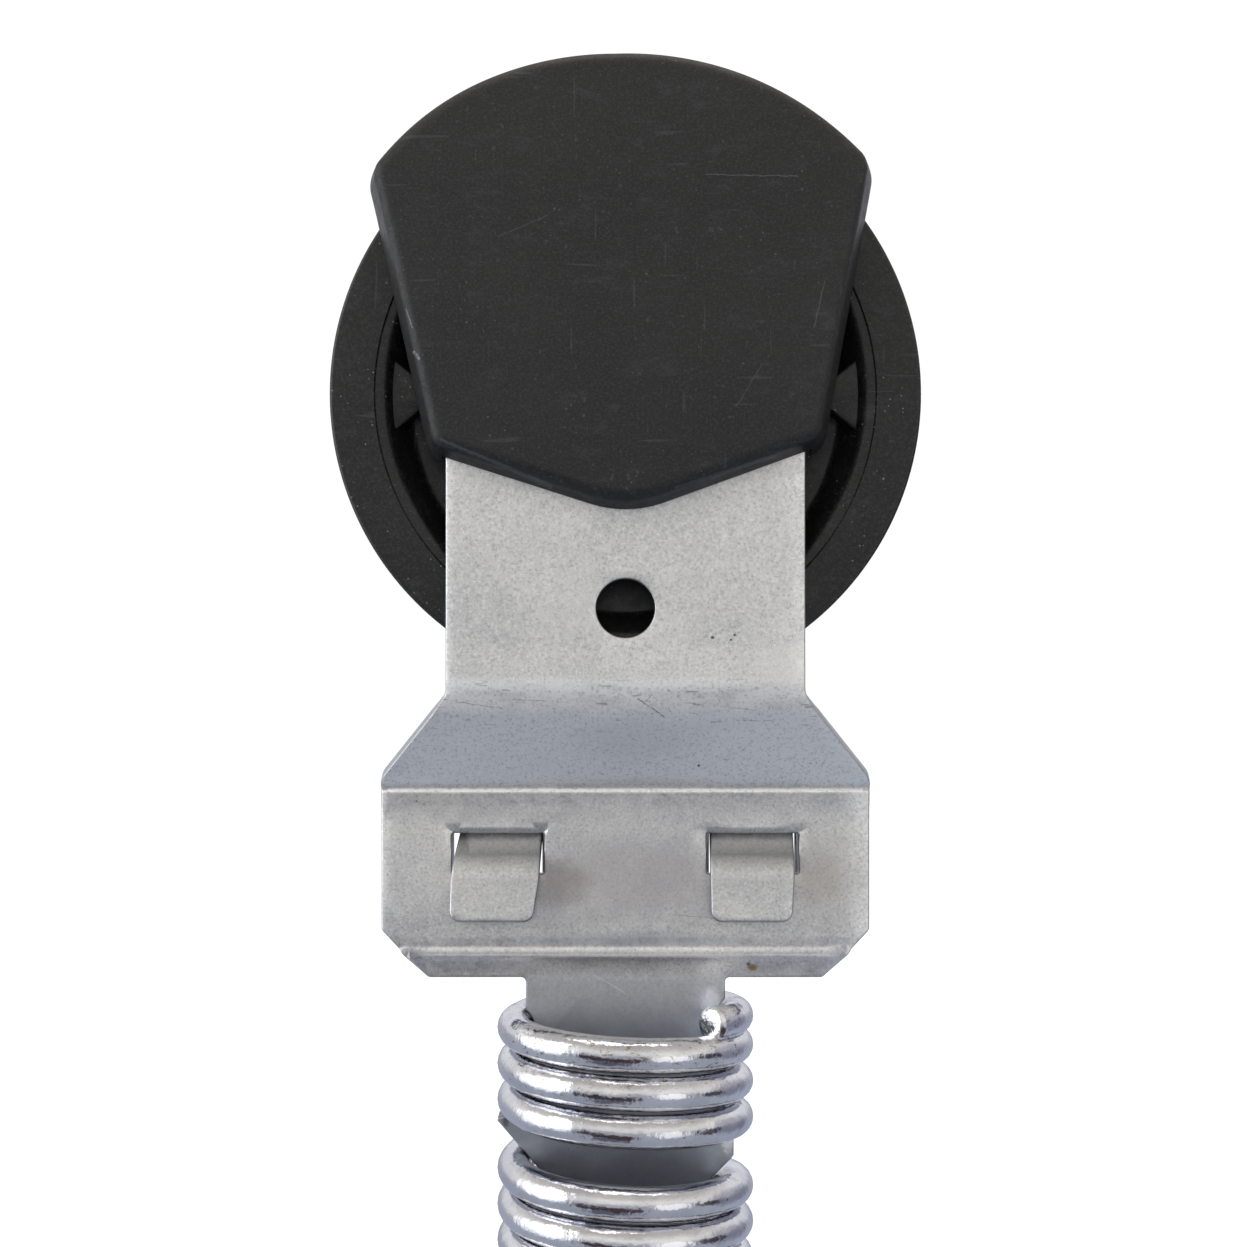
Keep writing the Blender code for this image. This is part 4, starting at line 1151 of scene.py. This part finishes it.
def wheel_profile():
    """The wheel's whole (r, y) section."""
    w = WHEEL_HALF
    half = [
        (GROOVE_R, 1.0 * MM, 0),
        (GROOVE_R, 2.6 * MM, 1.6 * MM),
        (WHEEL_R - 0.9 * MM, 6.4 * MM, 0.6 * MM),
        (WHEEL_R, 6.9 * MM, 0.4 * MM),
        (WHEEL_R, w, 0.7 * MM),
        (42.45 * MM, w, 0.2 * MM),
        (42.2 * MM, w - 0.25 * MM, 0.1 * MM),
        (40.4 * MM, w - 0.3 * MM, 1.6 * MM),
        (RECESS_FLOOR_R + 0.5 * MM, WEB_HALF, 1.5 * MM),
        (HUB_R + 0.6 * MM, WEB_HALF, 1.2 * MM),
        (HUB_R, HUB_HALF, 0.6 * MM),
    ]
    bore = [
        (SEAT_R, -HUB_HALF, 0.5 * MM), (SEAT_R, -6.2 * MM, 0), (SEAT_R + 1.1 * MM, -6.2 * MM, 0),
        (SEAT_R + 1.1 * MM, -BEARING_HALF, 0), (SEAT_R, -BEARING_HALF, 0), (SEAT_R, BEARING_HALF, 0),
        (SEAT_R - 2.4 * MM, BEARING_HALF, 0), (SEAT_R - 2.4 * MM, HUB_HALF, 0.5 * MM),
    ]
    front = [(r, -y, f) for r, y, f in half]
    return rounded(front + bore + half[::-1], 5)


def rib_outline():
    """A straight rib along +X that flares into the rim."""
    rim = RECESS_FLOOR_R
    side = [(HUB_R - 1.5 * MM, RIB_HALF, 0), (rim - 3.6 * MM, RIB_HALF, 6 * MM),
            (rim + 4.6 * MM, RIB_HALF + 6.4 * MM, 0)]
    path = rounded(side, 8, closed=False)
    return path + [(x, -z) for x, z in reversed(path)]


def make_wheel(material):
    wheel = mesh_object("wheel_moulding", turned(wheel_profile(), 216), material)
    ribs = bmesh.new()
    for i in range(RIB_COUNT):
        a = 2 * math.pi * i / RIB_COUNT
        outline = [(x * math.cos(a) - z * math.sin(a), x * math.sin(a) + z * math.cos(a))
                   for x, z in rib_outline()]
        absorb(ribs, prism(outline, -RIB_TOP, RIB_TOP, 0.4 * MM))
    boolean(wheel, "UNION", ribs)
    resmooth(wheel)
    piece(wheel, "wheel", "black_nylon", "pulley_wheel")


# ---------------------------------------------------------------- hood

def line_meet(p, u, q, v):
    cross = u.x * v.y - u.y * v.x
    w = q - p
    t = (w.x * v.y - w.y * v.x) / cross
    return p + u * t


def hood_outline(shrink):
    """A domed top, straight sides that run in, and a shallow pointed chin."""
    radius = HOOD_TOP_R - shrink
    top = Vector(HOOD_SIDE_TOP)
    side = (Vector(HOOD_SIDE_BOTTOM) - top).normalized()
    inward = Vector((side.y, -side.x))
    top = top + inward * shrink
    chin_dir = Vector((1, HOOD_CHIN_SLOPE)).normalized()
    chin = Vector((0, HOOD_CHIN_Z + shrink * math.hypot(1, HOOD_CHIN_SLOPE)))
    corner = line_meet(top, side, chin, chin_dir)
    b = top.dot(side)
    c = top.dot(top) - radius * radius
    shoulder = top + side * (-b - math.sqrt(b * b - c))
    tangent = Vector((-shoulder.y, shoulder.x)).normalized()
    bend = fillet(shoulder + tangent * 0.02, shoulder, corner, max(5.5 * MM - shrink, 1 * MM), 14)
    start = math.degrees(math.atan2(bend[0][1], bend[0][0]))
    right = arc(0, 0, math.hypot(*bend[0]), 90, start, 36)[:-1] + bend
    right += straight(bend[-1], corner, 16)
    right += fillet(shoulder, corner, chin, max(4.6 * MM - shrink, 0.8 * MM), 10)
    right += straight(right[-1], chin, 10)
    right += fillet(corner, chin, (-corner.x, corner.y), 20 * MM - shrink, 12)[:7]
    left = [(-x, z) for x, z in right[1:-1]]
    return right + left[::-1]


def straight(start, end, steps):
    """Points part of the way from start towards end."""
    a, b = Vector(start), Vector(end)
    return [tuple(a.lerp(b, 0.8 * i / steps)) for i in range(1, steps)]


def fuller_dome(x, z):
    """The dome is a little fuller at its shoulders than a circle, and sits slightly to the left."""
    turn = math.degrees(math.atan2(z, x))
    share = min(max((z - 31 * MM) / (20 * MM), 0), 1)
    share = share * share * (3 - 2 * share)
    swell = HOOD_SWELL * share * math.sin(math.radians(2 * abs(turn - 90))) if z > 0 else 0.0
    growth = 1 + swell / math.hypot(x, z)
    return x * growth - HOOD_SHIFT * share, z * growth


def hood_loops(side, wall):
    """The hood half's outer skin, or its inner one when a wall is given."""
    draft = [(0.15, 0.0), (3.0, 0.02), (6.0, 0.05), (9.3, 0.1), (11.5, 0.55), (14.0, 1.1), (16.0, 1.6)]
    curl = 2.0
    for i in range(1, 8):
        a = math.radians(90 * i / 7)
        draft.append((16.3 + curl * math.sin(a), 1.65 + 1.1 * curl * (1 - math.cos(a))))
    loops = []
    for depth, shrink in draft:
        y = depth * MM
        if wall:
            y = depth * MM - wall if depth > 10 else y - 1.2 * MM
        outline = [fuller_dome(x, z) for x, z in hood_outline(shrink * MM + wall)]
        loops.append([(x, side * y, z) for x, z in outline])
    return loops


def make_hood(name, side, material):
    hood = mesh_object(name + "_shell", loft(hood_loops(side, 0)), material)
    boolean(hood, "DIFFERENCE", loft(hood_loops(side, HOOD_WALL)))
    if side < 0:
        boolean(hood, "UNION", hood_lip())
    low, high = sorted((side * -1 * MM, side * 9.4 * MM))
    room = box_corners(0, WHEEL_CLEARANCE_R, low, high)
    boolean(hood, "DIFFERENCE", turned(room, 180, closed=False))
    low, high = sorted((side * -1.5 * MM, side * 9.4 * MM))
    skirt = box_corners(-60 * MM, 60 * MM, -40 * MM, SKIRT_TOP_Z)
    boolean(hood, "DIFFERENCE", prism(skirt, low, high))
    low, high = sorted((side * -2 * MM, side * (PLATE_FACE + GAP)))
    half = ARM_HALF + 0.8 * MM
    boolean(hood, "DIFFERENCE", prism(box_corners(-half, half, -40 * MM, 5 * MM), low, high))
    inner = side * (HOOD_FRONT - HOOD_WALL / 2)
    end = side * (PLATE_FACE + 0.7 * MM)
    boss = HOOD_BOSS[side]
    boolean(hood, "UNION", ring(*boss, *sorted((inner, end))))
    if side > 0:
        hole = [(0, 10 * MM), (boss[0], 10 * MM), (boss[0], HOOD_FRONT - 0.5 * MM),
                (11.8 * MM, HOOD_FRONT + 0.1 * MM), (11.8 * MM, 25 * MM), (0, 25 * MM)]
        boolean(hood, "DIFFERENCE", turned(hole, 96, closed=False))
    resmooth(hood, 30)
    hood.data.transform(Matrix.Rotation(HOOD_LEAN, 4, "Y"))
    piece(hood, "bracket", "black_plastic", name)


def hood_lip():
    """A thin band inside the front half that reaches across the seam and closes it to light."""
    loops = []
    for shrink, y in ((1.5, -3.0), (2.1, -2.4), (2.1, 0.85), (2.8, 0.85), (2.8, -3.4), (1.5, -3.4)):
        outline = [fuller_dome(x, z) for x, z in hood_outline(shrink * MM)]
        loops.append([(x, y * MM, z) for x, z in outline])
    return loft(loops + loops[:1], capped=False)


def ring(inner_r, outer_r, low_y, high_y):
    return turned(box_corners(inner_r, outer_r, low_y, high_y), 96)


# ---------------------------------------------------------------- axle and bearing

def bevelled_ring(inner_r, outer_r, low_y, high_y, edge):
    return turned(box_outline(inner_r, outer_r, low_y, high_y, edge, 3), 96)


def make_axle(zinc, nylon):
    face = PLATE_FACE + GAP
    head = -face - 2.7 * MM
    head_r = 9 * MM
    corners = [(0, head, 0), (head_r, head, 0.9 * MM), (head_r, -face, 0.3 * MM), (AXLE_R, -face, 0.2 * MM),
               (AXLE_R, face, 0)]
    profile = rounded(corners, 4, closed=False)
    start = face + 2.4 * MM
    chamfer = 0.8 * MM
    step = (AXLE_END - chamfer - start) / THREAD_TURNS
    for i in range(THREAD_TURNS):
        profile += [(AXLE_R, start + i * step), (AXLE_R - 0.45 * MM, start + (i + 0.5) * step)]
    profile += [(AXLE_R - 0.1 * MM, AXLE_END - chamfer), (AXLE_R - chamfer, AXLE_END), (0, AXLE_END)]
    axle = mesh_object("axle_pin_fine", turned(profile, 72, closed=False), zinc)
    piece(axle, "bracket", "zinc_steel", "axle_pin")
    for name, side in (("front_spacer", -1), ("rear_spacer", 1)):
        low, high = sorted((side * BEARING_HALF, side * (ARM_OFFSET - SHEET / 2 - GAP)))
        spacer = mesh_object(name + "_fine", bevelled_ring(BORE_R, 7.8 * MM, low, high, 0.4 * MM), zinc)
        piece(spacer, "bracket", "zinc_steel", name)
    washer = bevelled_ring(BORE_R, 10 * MM, face, face + 1.7 * MM, 0.35 * MM)
    piece(mesh_object("axle_washer_fine", washer, zinc), "bracket", "zinc_steel", "axle_washer")
    make_nut(face + 2.0 * MM, zinc, nylon)


def make_nut(start, zinc, nylon):
    end = start + 7.6 * MM
    corner_r = 8.5 * MM / math.cos(math.pi / 6)
    outline = rounded([(*p, 0.4 * MM) for p in arc(0, 0, corner_r, 0, 300, 5)], 3)
    nut = mesh_object("lock_nut_fine", prism(outline, start, end - 2.2 * MM), zinc)
    chamfer = [(0, start - 1 * MM), (8.7 * MM, start - 0.001 * MM), (corner_r + 0.1 * MM, start + 0.7 * MM),
               (corner_r + 0.1 * MM, end - 2.9 * MM), (8.6 * MM, end - 2.2 * MM), (0, end)]
    boolean(nut, "INTERSECT", turned(chamfer, 96, closed=False))
    collar = rounded([(BORE_R, start + 1 * MM, 0), (7.4 * MM, start + 1 * MM, 0), (7.4 * MM, end, 0.9 * MM),
                      (6.5 * MM, end, 0.3 * MM), (6.5 * MM, end - 2 * MM, 0), (BORE_R, end - 2 * MM, 0)], 4)
    boolean(nut, "UNION", turned(collar, 96))
    bore = box_corners(0, BORE_R, start - 2 * MM, end + 1 * MM)
    boolean(nut, "DIFFERENCE", turned(bore, 96, closed=False))
    resmooth(nut)
    piece(nut, "bracket", "zinc_steel", "lock_nut")
    insert = bevelled_ring(BORE_R, 6.2 * MM, end - 1.7 * MM, end - 0.3 * MM, 0.25 * MM)
    locking = mesh_object("nut_locking_ring_fine", insert, nylon)
    piece(locking, "bracket", "nylon_insert", "nut_locking_ring")


def dress_bearing(materials):
    """The bearing's CAD pieces keep their shape and get their real finish."""
    finishes = {"bearing_inner_ring": "steel", "bearing_outer_ring": "steel", "bearing_cage": "brass",
                "bearing_seal_front": "rubber", "bearing_seal_rear": "rubber", "retaining_ring": "dark"}
    for i in range(1, 9):
        finishes[f"bearing_ball_{i}"] = "steel"
    for name, finish in finishes.items():
        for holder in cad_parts[name].material_slots:
            holder.material = materials[finish]


# ---------------------------------------------------------------- build

make_camera()
make_world()
make_lights()
make_floor()
bpy.context.scene.view_settings.view_transform = "Standard"

galvanised = galvanised_steel()
zinc = zinc_steel()
hood_plastic = moulded_plastic("black_plastic", (0.012, 0.012, 0.012), (0.016, 0.0155, 0.015),
                               rough=0.5, grain=0.03, specks=0.12, marks=HOOD_SCRATCHES_AND_EDGE_HIGHLIGHTS)
wheel_plastic = moulded_plastic("black_nylon", (0.006, 0.006, 0.006), (0.010, 0.010, 0.010),
                                rough=0.36, grain=0.012, specks=0.5)

make_plates(galvanised)
make_wheel(wheel_plastic)
make_hood("hood_front", -1, hood_plastic)
make_hood("hood_rear", 1, hood_plastic)
make_spring(zinc_wire())
make_anchor(galvanised, zinc)
make_axle(zinc, simple_plastic("nylon_insert", (0.06, 0.16, 0.45), (0.09, 0.22, 0.55), 0.4))
dress_bearing({
    "steel": simple_metal("bearing_steel", (0.5, 0.5, 0.51), (0.6, 0.6, 0.61), 0.12),
    "brass": simple_metal("cage_brass", (0.5, 0.36, 0.14), (0.62, 0.46, 0.2), 0.3),
    "dark": simple_metal("spring_steel", (0.12, 0.12, 0.13), (0.2, 0.2, 0.21), 0.3),
    "rubber": simple_plastic("seal_rubber", (0.012, 0.012, 0.012), (0.022, 0.022, 0.022), 0.6),
})
